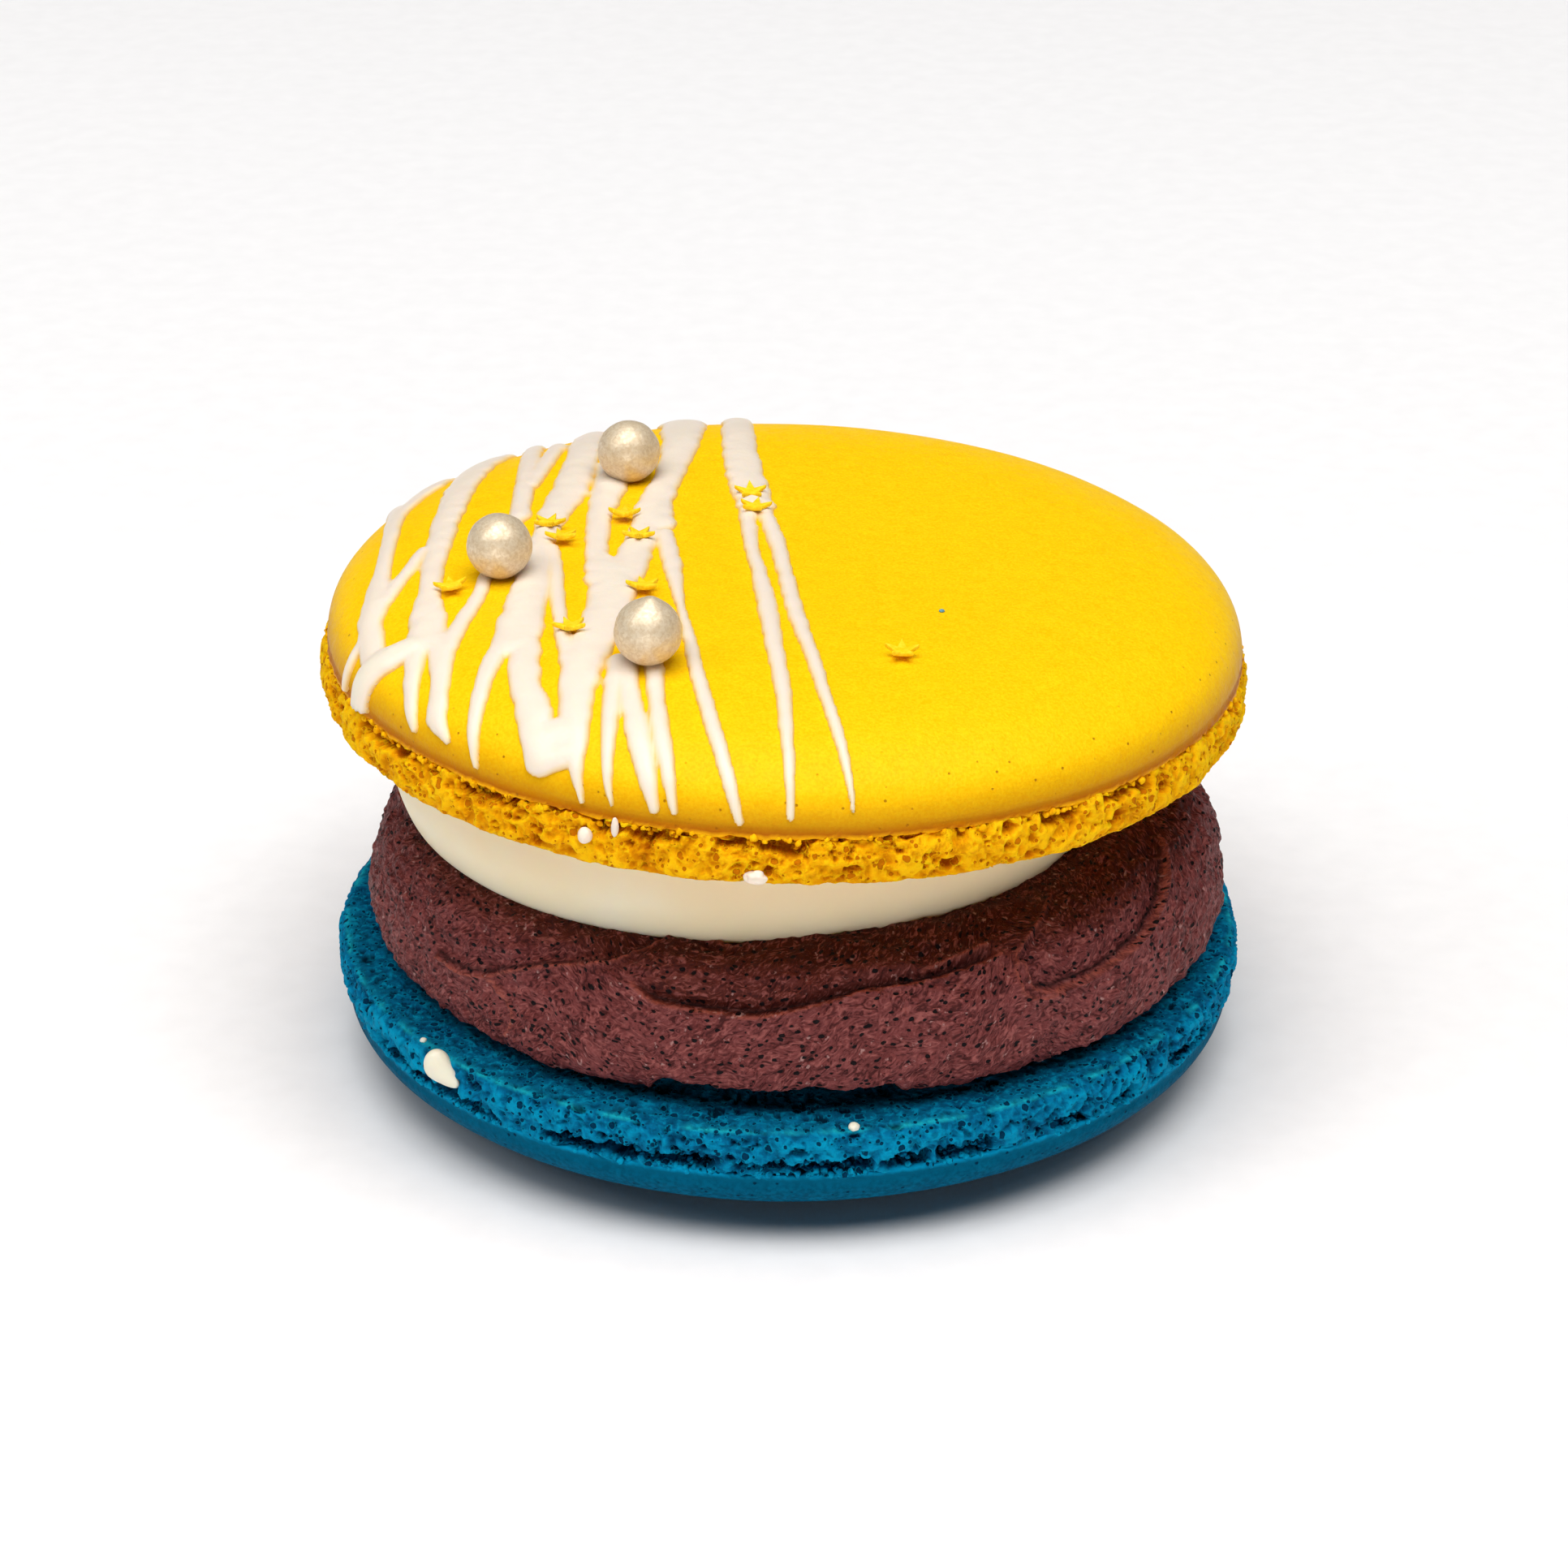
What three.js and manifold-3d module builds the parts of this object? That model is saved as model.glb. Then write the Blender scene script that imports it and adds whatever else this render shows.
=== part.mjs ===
// French macaron with two fillings. A teal almond shell lies upside down on its dome, a thick disc
// of plum buttercream and a smaller disc of ivory cream lie on it, and a yellow shell with piped
// drizzle, star confetti and three sugar pearls closes it. Millimetres, +Z up. The origin is the
// centre of the flat spot that the lower shell rests on, and the front of the macaron faces -Y.
import * as THREE from "three";
import { mergeVertices } from "three/addons/utils/BufferGeometryUtils.js";
import { ImprovedNoise } from "three/addons/math/ImprovedNoise.js";
import Module from "manifold-3d";

const wasm = await Module();
wasm.setup();

// ---- Driving dimensions ----
const CAP_RADIUS = 27.75; // both shells are piped to the same size
const FOOT_RADIUS = 28.1; // the ruffled foot spreads a little past the cap
const FOOT_HEIGHT = 3.1; // from the flat face to the skirt of the cap
const FOOT_TUCK = 1.2; // how far an opening over the foot cuts in under the skirt
const CAP_ROUNDNESS = 3.4; // exponent of the cap's profile outwards
const CAP_FLATNESS = 2.5; // exponent of the cap's profile upwards
const LOWER_CAP_HEIGHT = 5;
const UPPER_CAP_HEIGHT = 5.6;
const REST_SPOT_RADIUS = 11; // the lower dome is pressed flat this far out

const LAYER_GAP = 0.15; // left between pieces that lie on each other
const PLUM = { x: 0.4, height: 8.95, lopsided: 0.3 };
const CREAM = { x: -2.2, seat: 20.3, belly: 22.2, top: 21.5, press: 0.65 };
const UPPER_SHELL = { x: -0.27, z: 23.75, tiltDeg: 1.47 }; // tilted down to the right

const PEARL_RADIUS = 2;
const PEARL_SEAT_GAP = 0.2;
const STAR_RADIUS = 0.95;
const STAR_WAIST = 0.5; // inner radius of a star over its outer one
const STAR_THICKNESS = 0.45;
const STAR_SINK = 0.15;

const SHELL_SEGMENTS = 72;
const FILLING_SEGMENTS = 96;
const STROKE_STEP = { flat: 5, rim: 1.55 }; // ring spacing along a line of drizzle
const STROKE_SINK = 0.35; // how deep a line of drizzle is set into the cap

const LOWER_SHELL_Z = LOWER_CAP_HEIGHT + FOOT_HEIGHT;
const PLUM_BOTTOM = LOWER_SHELL_Z + LAYER_GAP;
const CREAM_BOTTOM = PLUM_BOTTOM + PLUM.height - CREAM.press;

const { degToRad, radToDeg, clamp, lerp, smoothstep, mapLinear, euclideanModulo } = THREE.MathUtils;
const perlin = new ImprovedNoise();
const bell = (x, width) => Math.exp(-((x / width) ** 2));

// An angle in degrees brought between -180 and 180.
const wrapped = (degrees) => euclideanModulo(degrees + 180, 360) - 180;

// Degrees round a piece: 0 at the front, growing to the right.
const bearing = (x, y) => radToDeg(Math.atan2(x, -y));

// ---- Solids ----

function solidFrom(geometry) {
  const bare = new THREE.BufferGeometry();
  const source = geometry.index ? geometry.toNonIndexed() : geometry;
  bare.setAttribute("position", source.getAttribute("position").clone());
  const merged = mergeVertices(bare, 1e-3);
  const corners = merged.index.array;
  const kept = [];
  for (let i = 0; i < corners.length; i += 3) {
    const [a, b, c] = corners.subarray(i, i + 3);
    if (a !== b && b !== c && c !== a) kept.push(a, b, c);
  }
  const vertProperties = merged.attributes.position.array;
  const triVerts = new Uint32Array(kept);
  return new wasm.Manifold(new wasm.Mesh({ numProp: 3, vertProperties, triVerts }));
}

function geometryFrom(solid) {
  const mesh = solid.getMesh();
  const geometry = new THREE.BufferGeometry();
  geometry.setAttribute("position", new THREE.BufferAttribute(mesh.vertProperties, 3));
  geometry.setIndex(new THREE.BufferAttribute(mesh.triVerts, 1));
  return geometry;
}

// The largest closed surface of a solid, after its nearly shared vertices are merged. It drops
// hollows that fusing has sealed and loose scraps.
function wholeBody(solid) {
  const bodies = solidFrom(geometryFrom(solid)).decompose();
  return bodies.reduce((a, b) => (b.volume() > a.volume() ? b : a));
}

// Moves every vertex of a geometry to where place(vertex) puts it.
function reshape(geometry, place) {
  const position = geometry.getAttribute("position");
  const vertex = new THREE.Vector3();
  for (let i = 0; i < position.count; i++) {
    place(vertex.fromBufferAttribute(position, i));
    position.setXYZ(i, vertex.x, vertex.y, vertex.z);
  }
  return geometry;
}

// Turns a profile of [radius, height] points, given from the underside's centre outwards and up
// to the centre of the top, round the Z axis.
function turned(profile, segments) {
  const points = profile.map(([r, z]) => new THREE.Vector2(r, z));
  return new THREE.LatheGeometry(points, segments).rotateX(Math.PI / 2);
}

function moveOut(vertex, distance) {
  const radius = Math.hypot(vertex.x, vertex.y);
  if (radius < 1e-6) return;
  vertex.x *= 1 + distance / radius;
  vertex.y *= 1 + distance / radius;
}

function nodeMesh(name, geometry, color, roughness) {
  const material = new THREE.MeshStandardMaterial({ color, roughness, metalness: 0 });
  const mesh = new THREE.Mesh(geometry, material);
  mesh.name = name;
  return mesh;
}

// ---- Shells ----

// The cap's superellipse: t runs from 0 at the skirt to 1 at the centre of the top.
function capPoint(t, capHeight) {
  const angle = (t * Math.PI) / 2;
  const radius = CAP_RADIUS * Math.cos(angle) ** (2 / CAP_ROUNDNESS);
  return [radius, FOOT_HEIGHT + capHeight * Math.sin(angle) ** (2 / CAP_FLATNESS)];
}

// A shell with its flat face at z = 0 and its cap above, flat within flatRadius. Crumb ruffles
// the foot, and openings lists where, as [from, to] in degrees, the foot is torn from the cap.
function shellGeometry({ capHeight, flatRadius, openings, seed }) {
  const groove = CAP_RADIUS - FOOT_TUCK / 2;
  const foot = [
    [FOOT_RADIUS - 1.3, 0],
    [FOOT_RADIUS - 0.2, 0.25],
    [FOOT_RADIUS + 0.1, 1.1],
    [FOOT_RADIUS, 2],
    [groove, FOOT_HEIGHT - 0.4],
    [groove, FOOT_HEIGHT - 0.1],
  ];
  const cap = [0.004, 0.1, 0.25, 0.42, 0.6, 0.82].map((t) => capPoint(t, capHeight));
  const top = FOOT_HEIGHT + capHeight;
  const crown = flatRadius ? [[flatRadius, top], [0, top]] : [[0, top]];
  const profile = [[0, 0], ...foot, ...cap, ...crown];
  return reshape(turned(profile, SHELL_SEGMENTS), (v) => {
    if (v.z >= FOOT_HEIGHT) return;
    const heading = bearing(v.x, v.y);
    const crumb = 0.45 * perlin.noise(v.x * 0.55 + seed, v.y * 0.55, v.z * 0.9);
    const ruffle = 0.2 * perlin.noise(v.x * 0.2, v.y * 0.2 + seed, 0.5);
    const torn = openings.some(([from, to]) => heading > from && heading < to);
    const tuck = v.z > FOOT_HEIGHT * 0.8 ? FOOT_TUCK * (torn ? 1 : 0.25) : 0;
    moveOut(v, crumb + ruffle - tuck);
  });
}

// Where the crumb has torn open along each skirt, in degrees round the macaron.
const LOWER_OPENINGS = [
  [-60, -50],
  [-45, -40],
  [-27, -23],
  [-21, -9],
  [-7, -1],
  [3, 12],
  [17, 24],
  [25, 30],
  [55, 66],
  [88, 97],
  [120, 132],
  [150, 158],
  [-178, -166],
  [-140, -130],
  [-104, -92],
];
const UPPER_OPENINGS = [
  [-62, -30],
  [-24, 14],
  [20, 48],
  [70, 96],
  [110, 150],
  [-170, -120],
  [-100, -80],
];

// The lower shell is turned over, so angles round it are counted from the other side.
const turnedOver = (degrees) => wrapped(180 - degrees);

// ---- Drizzle ----

// Points of the upper cap's profile from the centre of its top outwards, each with its distance
// from the centre over the surface.
const CAP_STEPS = 240;
const CAP_TABLE = [];
for (let i = 0; i <= CAP_STEPS; i++) {
  const [radius, height] = capPoint(1 - i / CAP_STEPS, UPPER_CAP_HEIGHT);
  const last = CAP_TABLE.at(-1) ?? { radius, height, distance: 0 };
  const distance = last.distance + Math.hypot(radius - last.radius, height - last.height);
  CAP_TABLE.push({ radius, height, distance });
}

// The point of the upper cap that a flattened place (u, v) falls on, raised by lift along the
// surface's outward direction.
function onCap(u, v, lift) {
  const distance = Math.hypot(u, v);
  const found = CAP_TABLE.findIndex((point) => point.distance > distance);
  const i = found < 1 ? CAP_STEPS : found;
  const [inner, outer] = [CAP_TABLE[i - 1], CAP_TABLE[i]];
  const run = outer.radius - inner.radius;
  const drop = outer.height - inner.height;
  const length = outer.distance - inner.distance;
  const share = (distance - inner.distance) / length;
  const radius = inner.radius + run * share - (drop / length) * lift;
  const height = inner.height + drop * share + (run / length) * lift;
  const turn = distance > 0 ? radius / distance : 0;
  return new THREE.Vector3(u * turn, v * turn, height);
}

// Lines of white chocolate, as [across, back, width] over the flattened cap, with a fourth number
// where a line is piled up thicker than the rest.
const DRIZZLE = [
  [[-27.3, 13, 0.8], [-24.9, 11.5, 1], [-25, 4, 1.1], [-24.9, -5, 1.5], [-25.6, -9.5, 1.2], [-28, -11, 0.6]],
  [[-22.3, 4, 0.8], [-22.6, 0, 0.9], [-24.6, -6.3, 1]],
  [[-23.5, 18.5, 2.2], [-21.1, 15, 2.6], [-21.2, 8, 2.2], [-21.3, 0, 1.4], [-21.8, -10.5, 2]],
  [[-22, -10.5, 1.4], [-22.2, -14, 1.1], [-22.6, -18.5, 0.8]],
  [[-21.2, -10.5, 1.3], [-20.4, -14, 1.2], [-20.2, -19.5, 1.1]],
  [[-21.8, -10.8, 2, 2], [-24.5, -11, 2.4, 2], [-26, -12, 2.7, 2], [-26.7, -13.2, 2.4, 2]],
  [[-18.6, -5, 0.7], [-19, -7.5, 0.9], [-20.6, -12, 0.9]],
  [[-18.5, 22, 1.2], [-17.2, 14, 1.3], [-17, 4, 1.3]],
  [[-15.5, 20, 1], [-16.6, 13.5, 1.1]],
  [[-13.3, 25.5, 2], [-13.5, 15, 2.1], [-14.5, 5, 1.6], [-15.3, -2, 1.4], [-15.6, -7, 2.4], [-16, -13, 2.6]],
  [[-16.3, -12, 1.4], [-17.6, -17, 1.1], [-18.4, -22.3, 0.8]],
  [[-15.5, -12, 1.6], [-15.2, -18, 1.7], [-14.2, -24.5, 1.9]],
  [[-14.8, -22.4, 1.6], [-12.2, -22.4, 1.6]],
  [[-14, 0.5, 0.8], [-13.8, -5, 1], [-13, -12, 1], [-12.4, -17, 1]],
  [[-11.5, 10, 2.1], [-11.8, 2, 1.6], [-10.6, -7, 2.7], [-12, -17, 1.9], [-12.3, -22, 1.5], [-12, -26, 0.7]],
  [[-7.5, 28.5, 2.9], [-7.2, 25, 3.1], [-7.4, 18, 2.4], [-8.1, 10, 1.9], [-8.4, 4, 2.3]],
  [[-8.6, 4, 1.6], [-9.4, 0, 2], [-10.2, -5, 1.8]],
  [[-8, 4, 1.2], [-7.1, -3, 1.1], [-6.7, -8.5, 0.6], [-5.7, -15, 0.9], [-4.3, -23, 1], [-2.6, -29, 0.6]],
  [[-9.6, -16, 1.5], [-10, -20, 1.1], [-10.2, -27, 0.6]],
  [[-9.4, -16, 1.2], [-8.6, -22, 1], [-7.7, -28, 1]],
  [[-7.9, -16.5, 1], [-7.2, -22, 1], [-6.6, -28.2, 0.8]],
  [[-3.4, 29.3, 2.2], [-3.3, 18, 2.3], [-2.5, 7.5, 2.1]],
  [[-3, 7.5, 1], [-2.2, -3, 1.1], [-1, -15, 0.9], [0.2, -29, 0.6]],
  [[-2, 7.5, 1], [-0.4, -2, 1], [1.3, -16, 0.9], [3.8, -28.5, 0.5]],
];

const drizzleHeight = (width) => 0.24 + 0.08 * width;

// Where a line over the flattened cap needs a ring: close together where the cap bends down.
function ringsAlong(curve, length) {
  const places = [0];
  while (places.at(-1) < 1) {
    const point = curve.getPointAt(places.at(-1));
    const bend = smoothstep(Math.hypot(point.x, point.y), 18, 26);
    places.push(places.at(-1) + lerp(STROKE_STEP.flat, STROKE_STEP.rim, bend) / length);
  }
  return places.map((place) => place / places.at(-1));
}

// One line of drizzle: a five-sided bar laid along its route, low and wide, thin at its ends.
function strokeGeometry(route) {
  const points = route.map(([u, v, width]) => new THREE.Vector3(u, v, width));
  const curve = new THREE.CatmullRomCurve3(points);
  const rings = ringsAlong(curve, curve.getLength());
  const steps = rings.length - 1;
  const pile = route[0][3] ?? 1;
  const bar = new THREE.CylinderGeometry(1, 1, steps, 5, steps, false, Math.PI / 2);
  return reshape(bar, (vertex) => {
    const along = rings[Math.round(steps / 2 - vertex.y)];
    const point = curve.getPointAt(along);
    const heading = curve.getTangentAt(along).setZ(0).normalize();
    const taper = along === 0 || along === 1 ? 0.7 : 1;
    const half = (point.z / 2) * taper;
    const top = pile * drizzleHeight(point.z) * taper;
    const rise = vertex.x > 0 ? top : STROKE_SINK;
    const u = point.x + heading.y * vertex.z * half;
    const v = point.y - heading.x * vertex.z * half;
    vertex.copy(onCap(u, v, vertex.x * rise));
  });
}

// ---- Confetti, drips and pearls ----

// Stars as [across, back, turn, slant], with the slant off the surface in degrees.
const STARS = [
  [-20, -5.8, 10, 14],
  [-14.5, 2.6, 50, 32],
  [-13.6, 0.6, 20, 14],
  [-10.1, 4.3, 70, 32],
  [-8.9, 1, 35, 18],
  [-2.3, 8.3, 5, 28],
  [-2, 5.9, 60, 18],
  [-12.6, -12.3, 25, 18],
  [-8.5, -6.8, 15, 18],
  [6.4, -14.7, 0, 4],
];

function starGeometry([u, v, turn, slant]) {
  const outline = new THREE.Shape();
  for (let i = 0; i < 10; i++) {
    const reach = STAR_RADIUS * (i % 2 ? STAR_WAIST : 1);
    const angle = (i * Math.PI) / 5;
    outline[i ? "lineTo" : "moveTo"](reach * Math.sin(angle), reach * Math.cos(angle));
  }
  const star = new THREE.ExtrudeGeometry(outline, { depth: STAR_THICKNESS, bevelEnabled: false });
  const rise = Math.sin(degToRad(slant)) * STAR_RADIUS * 0.5 - STAR_SINK;
  const outwards = onCap(u, v, 1).sub(onCap(u, v, 0));
  const lean = new THREE.Quaternion().setFromUnitVectors(new THREE.Vector3(0, 0, 1), outwards);
  star.rotateZ(degToRad(turn)).rotateX(degToRad(slant)).applyQuaternion(lean);
  return star.translate(...onCap(u, v, rise));
}

// Blobs of chocolate that fell on a foot: [degrees round, radius, height, size].
const LOWER_DRIPS = [
  [-47, 28.1, 7.6, [0.85, 0.85, 0.8]],
  [-43.3, 28.2, 7.3, [0.5, 0.5, 0.45]],
];
const UPPER_DRIPS = [
  [-23.2, 28.2, 2, [0.45, 0.45, 0.5]],
  [-3.2, 28.3, 0.75, [0.7, 0.5, 0.5]],
];

function dripSolid([degrees, radius, height, size]) {
  const [x, y] = [radius * Math.sin(degToRad(degrees)), -radius * Math.cos(degToRad(degrees))];
  return solidFrom(new THREE.IcosahedronGeometry(1, 1).scale(...size).translate(x, y, height));
}

// Sugar pearls, dimpled on one side; the front one carries a small bump of drizzle on top.
const PEARLS = [
  { name: "pearl_back", at: [-9.96, 10.68, 34.45], bump: 0 },
  { name: "pearl_left", at: [-17.08, -4.92, 34.6], bump: 0 },
  { name: "pearl_front", at: [-7.95, -16.89, 34.4], bump: 0.25 },
];
const PEARL_DIMPLE = { towards: new THREE.Vector3(0.55, -0.5, 0.3).normalize(), depth: 0.08 };
const PEARL_CROWN = new THREE.Vector3(0.1, 0, 1).normalize();

function pearlGeometry(radius, bump) {
  return reshape(new THREE.IcosahedronGeometry(radius, 2), (v) => {
    const out = v.clone().normalize();
    const dent = PEARL_DIMPLE.depth * bell(out.angleTo(PEARL_DIMPLE.towards), 0.5);
    const rise = bump * bell(out.angleTo(PEARL_CROWN), 0.3);
    v.addScaledVector(out, rise - dent);
  });
}

// ---- Fillings ----

// The side of the plum disc as [radius, height], from its seat up to the edge of its top.
const PLUM_SIDE = [
  [23.4, 0.05],
  [24.6, 0.3],
  [25.6, 0.75],
  [26.25, 1.5],
  [26.5, 2.6],
  [26.45, 3.8],
  [26.25, 5],
  [25.9, 6.1],
  [25.2, 7.1],
  [24.2, 7.95],
  [23, 8.55],
  [21.6, PLUM.height],
];
const PLUM_GIRTH_PER_DEGREE = degToRad(26);
// At the front the lower edge has drawn up off the shell, between these angles.
const PLUM_LIFT = { from: -18, to: 13, height: 0.6 };

// Palette-knife marks: ridges pressed up along a path of [degrees round, distance down the side
// from the edge of the top], with a height and a width, and one wide hollow scraped at the front.
const KNIFE_MARKS = [
  { path: [[-22, 5.1], [-18, 5.9], [-8, 6.2], [2, 5.5], [18, 4.5], [29, 3.9]], height: 0.4, width: 0.8 },
  { path: [[-40, 6.5], [-27, 4.2], [-18, 1.2], [-9, 1.7]], height: 0.4, width: 1 },
  { path: [[29, 3], [29.5, 5], [32, 6.8], [44, 6.9], [60, 5.2], [71, 2.7]], height: 0.5, width: 0.8 },
  { path: [[96, 6.4], [108, 5.6], [122, 3], [130, 1.5]], height: 0.4, width: 1 },
  { path: [[126, 6.6], [142, 5.8], [160, 4.2], [178, 2.6]], height: 0.4, width: 0.9 },
  { path: [[-172, 5.8], [-150, 6.4], [-132, 4.8], [-120, 2.2]], height: 0.45, width: 0.9 },
  { path: [[-116, 6.2], [-100, 5.4], [-84, 3.6], [-70, 2.2]], height: 0.3, width: 0.9 },
];
const KNIFE_HOLLOW = { from: -17, to: 16, down: 4.3, width: 1.5, depth: 0.55 };

// Distance in millimetres over the side from a place to a path, both in degrees and distance down.
function distanceToPath(path, degrees, down) {
  let nearest = Infinity;
  for (let i = 1; i < path.length; i++) {
    const [fromDegrees, fromDown] = path[i - 1];
    const [toDegrees, toDown] = path[i];
    const across = wrapped(fromDegrees - degrees) * PLUM_GIRTH_PER_DEGREE;
    const start = new THREE.Vector2(across, fromDown - down);
    const run = (toDegrees - fromDegrees) * PLUM_GIRTH_PER_DEGREE;
    const line = new THREE.Vector2(run, toDown - fromDown);
    const t = clamp(-start.dot(line) / line.lengthSq(), 0, 1);
    nearest = Math.min(nearest, start.addScaledVector(line, t).length());
  }
  return nearest;
}

function plumRelief(v, degrees, down) {
  let relief = 0.2 * perlin.noise(v.x * 0.12, v.y * 0.12, v.z * 0.25);
  relief += 0.18 * perlin.noise(v.x * 0.4, v.y * 0.4, v.z * 0.8 + 7);
  for (const { path, height, width } of KNIFE_MARKS) {
    relief += height * bell(distanceToPath(path, degrees, down), width);
  }
  const after = smoothstep(degrees, KNIFE_HOLLOW.from - 6, KNIFE_HOLLOW.from + 6);
  const before = 1 - smoothstep(degrees, KNIFE_HOLLOW.to - 10, KNIFE_HOLLOW.to + 10);
  const across = bell(down - KNIFE_HOLLOW.down, KNIFE_HOLLOW.width);
  return relief - KNIFE_HOLLOW.depth * after * before * across;
}

// The plum disc leans out to the right and in to the left towards its top.
function plumGeometry() {
  const profile = [[0, 0], ...PLUM_SIDE, [16, PLUM.height], [0, PLUM.height]];
  const rim = PLUM_SIDE.at(-1)[0];
  const disc = reshape(turned(profile, FILLING_SEGMENTS), (v) => {
    if (v.z === 0 || Math.hypot(v.x, v.y) < rim - 1e-3) return;
    const degrees = bearing(v.x, v.y);
    const down = mapLinear(v.z, PLUM.height, 0, 0.5, 11.5);
    const lean = PLUM.lopsided * (Math.sin(degToRad(degrees)) - 0.4) * (v.z / PLUM.height);
    const relief = plumRelief(v, degrees, down) + lean;
    const upwards = smoothstep(v.z, PLUM.height * 0.6, PLUM.height);
    const isLifted = degrees > PLUM_LIFT.from && degrees < PLUM_LIFT.to;
    moveOut(v, relief * (1 - upwards));
    v.z += relief * upwards + (isLifted ? PLUM_LIFT.height * bell(v.z - 0.6, 0.6) : 0);
  });
  return disc.translate(PLUM.x, 0, PLUM_BOTTOM);
}

// The cream's top follows the tilted underside of the upper shell. Grown outwards and down, the
// same shape is the pocket that the cream is pressed into.
function creamGeometry(grow) {
  const level = UPPER_SHELL.z - LAYER_GAP - CREAM_BOTTOM;
  const slant = Math.tan(degToRad(UPPER_SHELL.tiltDeg));
  const profile = [
    [0, 0],
    [CREAM.seat, 0],
    [CREAM.seat + 1, 0.25],
    [CREAM.belly - 0.4, 1.2],
    [CREAM.belly - 0.05, 2.4],
    [CREAM.belly, 3.6],
    [CREAM.belly - 0.15, 5],
    [CREAM.top, level - 0.3],
    [CREAM.top - 0.5, level],
    [0, level],
  ];
  return reshape(turned(profile, FILLING_SEGMENTS / 2), (v) => {
    const share = v.z / level;
    moveOut(v, grow);
    v.x += CREAM.x;
    v.z += CREAM_BOTTOM - (share > 0 ? 0 : grow) - share * slant * (v.x - UPPER_SHELL.x);
  });
}

// ---- Assembly ----

const lowerGroup = new THREE.Group();
lowerGroup.position.z = LOWER_SHELL_Z;
lowerGroup.rotation.x = Math.PI;

const upperGroup = new THREE.Group();
upperGroup.position.set(UPPER_SHELL.x, 0, UPPER_SHELL.z);
upperGroup.rotation.y = degToRad(UPPER_SHELL.tiltDeg);
upperGroup.updateMatrixWorld(true);

function lowerShell() {
  const openings = LOWER_OPENINGS.map(([from, to]) => [turnedOver(to), turnedOver(from)]);
  const shape = { capHeight: LOWER_CAP_HEIGHT, flatRadius: REST_SPOT_RADIUS, openings, seed: 11 };
  let solid = solidFrom(shellGeometry(shape));
  for (const [degrees, radius, height, size] of LOWER_DRIPS) {
    solid = solid.add(dripSolid([turnedOver(degrees), radius, LOWER_SHELL_Z - height, size]));
  }
  return geometryFrom(wholeBody(solid));
}

function upperShell() {
  const shape = { capHeight: UPPER_CAP_HEIGHT, flatRadius: 0, openings: UPPER_OPENINGS, seed: 3 };
  let solid = solidFrom(shellGeometry(shape));
  for (const route of DRIZZLE) solid = solid.add(solidFrom(strokeGeometry(route)));
  for (const star of STARS) solid = solid.add(solidFrom(starGeometry(star)));
  for (const drip of UPPER_DRIPS) solid = solid.add(dripSolid(drip));
  for (const { at, bump } of PEARLS) {
    const centre = upperGroup.worldToLocal(new THREE.Vector3(...at));
    const socket = pearlGeometry(PEARL_RADIUS + PEARL_SEAT_GAP, bump).translate(...centre);
    solid = solid.subtract(solidFrom(socket));
  }
  return geometryFrom(wholeBody(solid));
}

function plumDisc() {
  const pocket = solidFrom(creamGeometry(LAYER_GAP));
  return geometryFrom(wholeBody(solidFrom(plumGeometry()).subtract(pocket)));
}

lowerGroup.add(nodeMesh("shell_bottom", lowerShell(), 0x0878a0, 0.6));
upperGroup.add(nodeMesh("shell_top", upperShell(), 0xfcd30a, 0.5));

const macaron = new THREE.Group();
macaron.add(lowerGroup);
macaron.add(nodeMesh("filling_plum", plumDisc(), 0x5a2c33, 0.55));
macaron.add(nodeMesh("filling_cream", creamGeometry(0), 0xf3e9cf, 0.4));
macaron.add(upperGroup);
for (const { name, at, bump } of PEARLS) {
  const pearl = nodeMesh(name, pearlGeometry(PEARL_RADIUS, bump), 0xf2e8d5, 0.3);
  pearl.position.set(...at);
  macaron.add(pearl);
}

export default macaron;
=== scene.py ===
"""French macaron: a teal shell lying on its dome, plum buttercream, ivory cream and a yellow shell
with white drizzle, star confetti and sugar pearls. Shapes are worked out in millimetres and stored
in metres. Angles round the macaron are in degrees, 0 at the front and growing to the right."""

import math
import random

import bmesh
import bpy
import numpy as np
from mathutils import Matrix, Vector, noise


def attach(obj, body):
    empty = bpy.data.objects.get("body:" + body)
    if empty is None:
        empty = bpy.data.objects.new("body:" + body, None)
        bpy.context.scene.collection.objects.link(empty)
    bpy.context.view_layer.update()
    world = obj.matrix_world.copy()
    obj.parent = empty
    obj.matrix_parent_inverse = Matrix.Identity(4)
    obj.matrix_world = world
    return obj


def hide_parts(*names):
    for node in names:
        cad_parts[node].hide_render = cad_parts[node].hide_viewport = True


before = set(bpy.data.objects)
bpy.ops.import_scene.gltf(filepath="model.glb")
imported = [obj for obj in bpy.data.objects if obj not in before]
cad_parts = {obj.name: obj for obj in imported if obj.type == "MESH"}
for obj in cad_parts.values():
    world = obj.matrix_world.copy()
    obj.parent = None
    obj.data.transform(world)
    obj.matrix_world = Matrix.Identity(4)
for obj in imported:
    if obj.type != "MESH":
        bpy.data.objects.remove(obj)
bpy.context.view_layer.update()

MM = 0.001
ROOT = "root"

# ---- Sizes of the layers and where they lie, in millimetres ----
CAP_RADIUS = 27.75
FOOT_HEIGHT = 3.1
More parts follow.
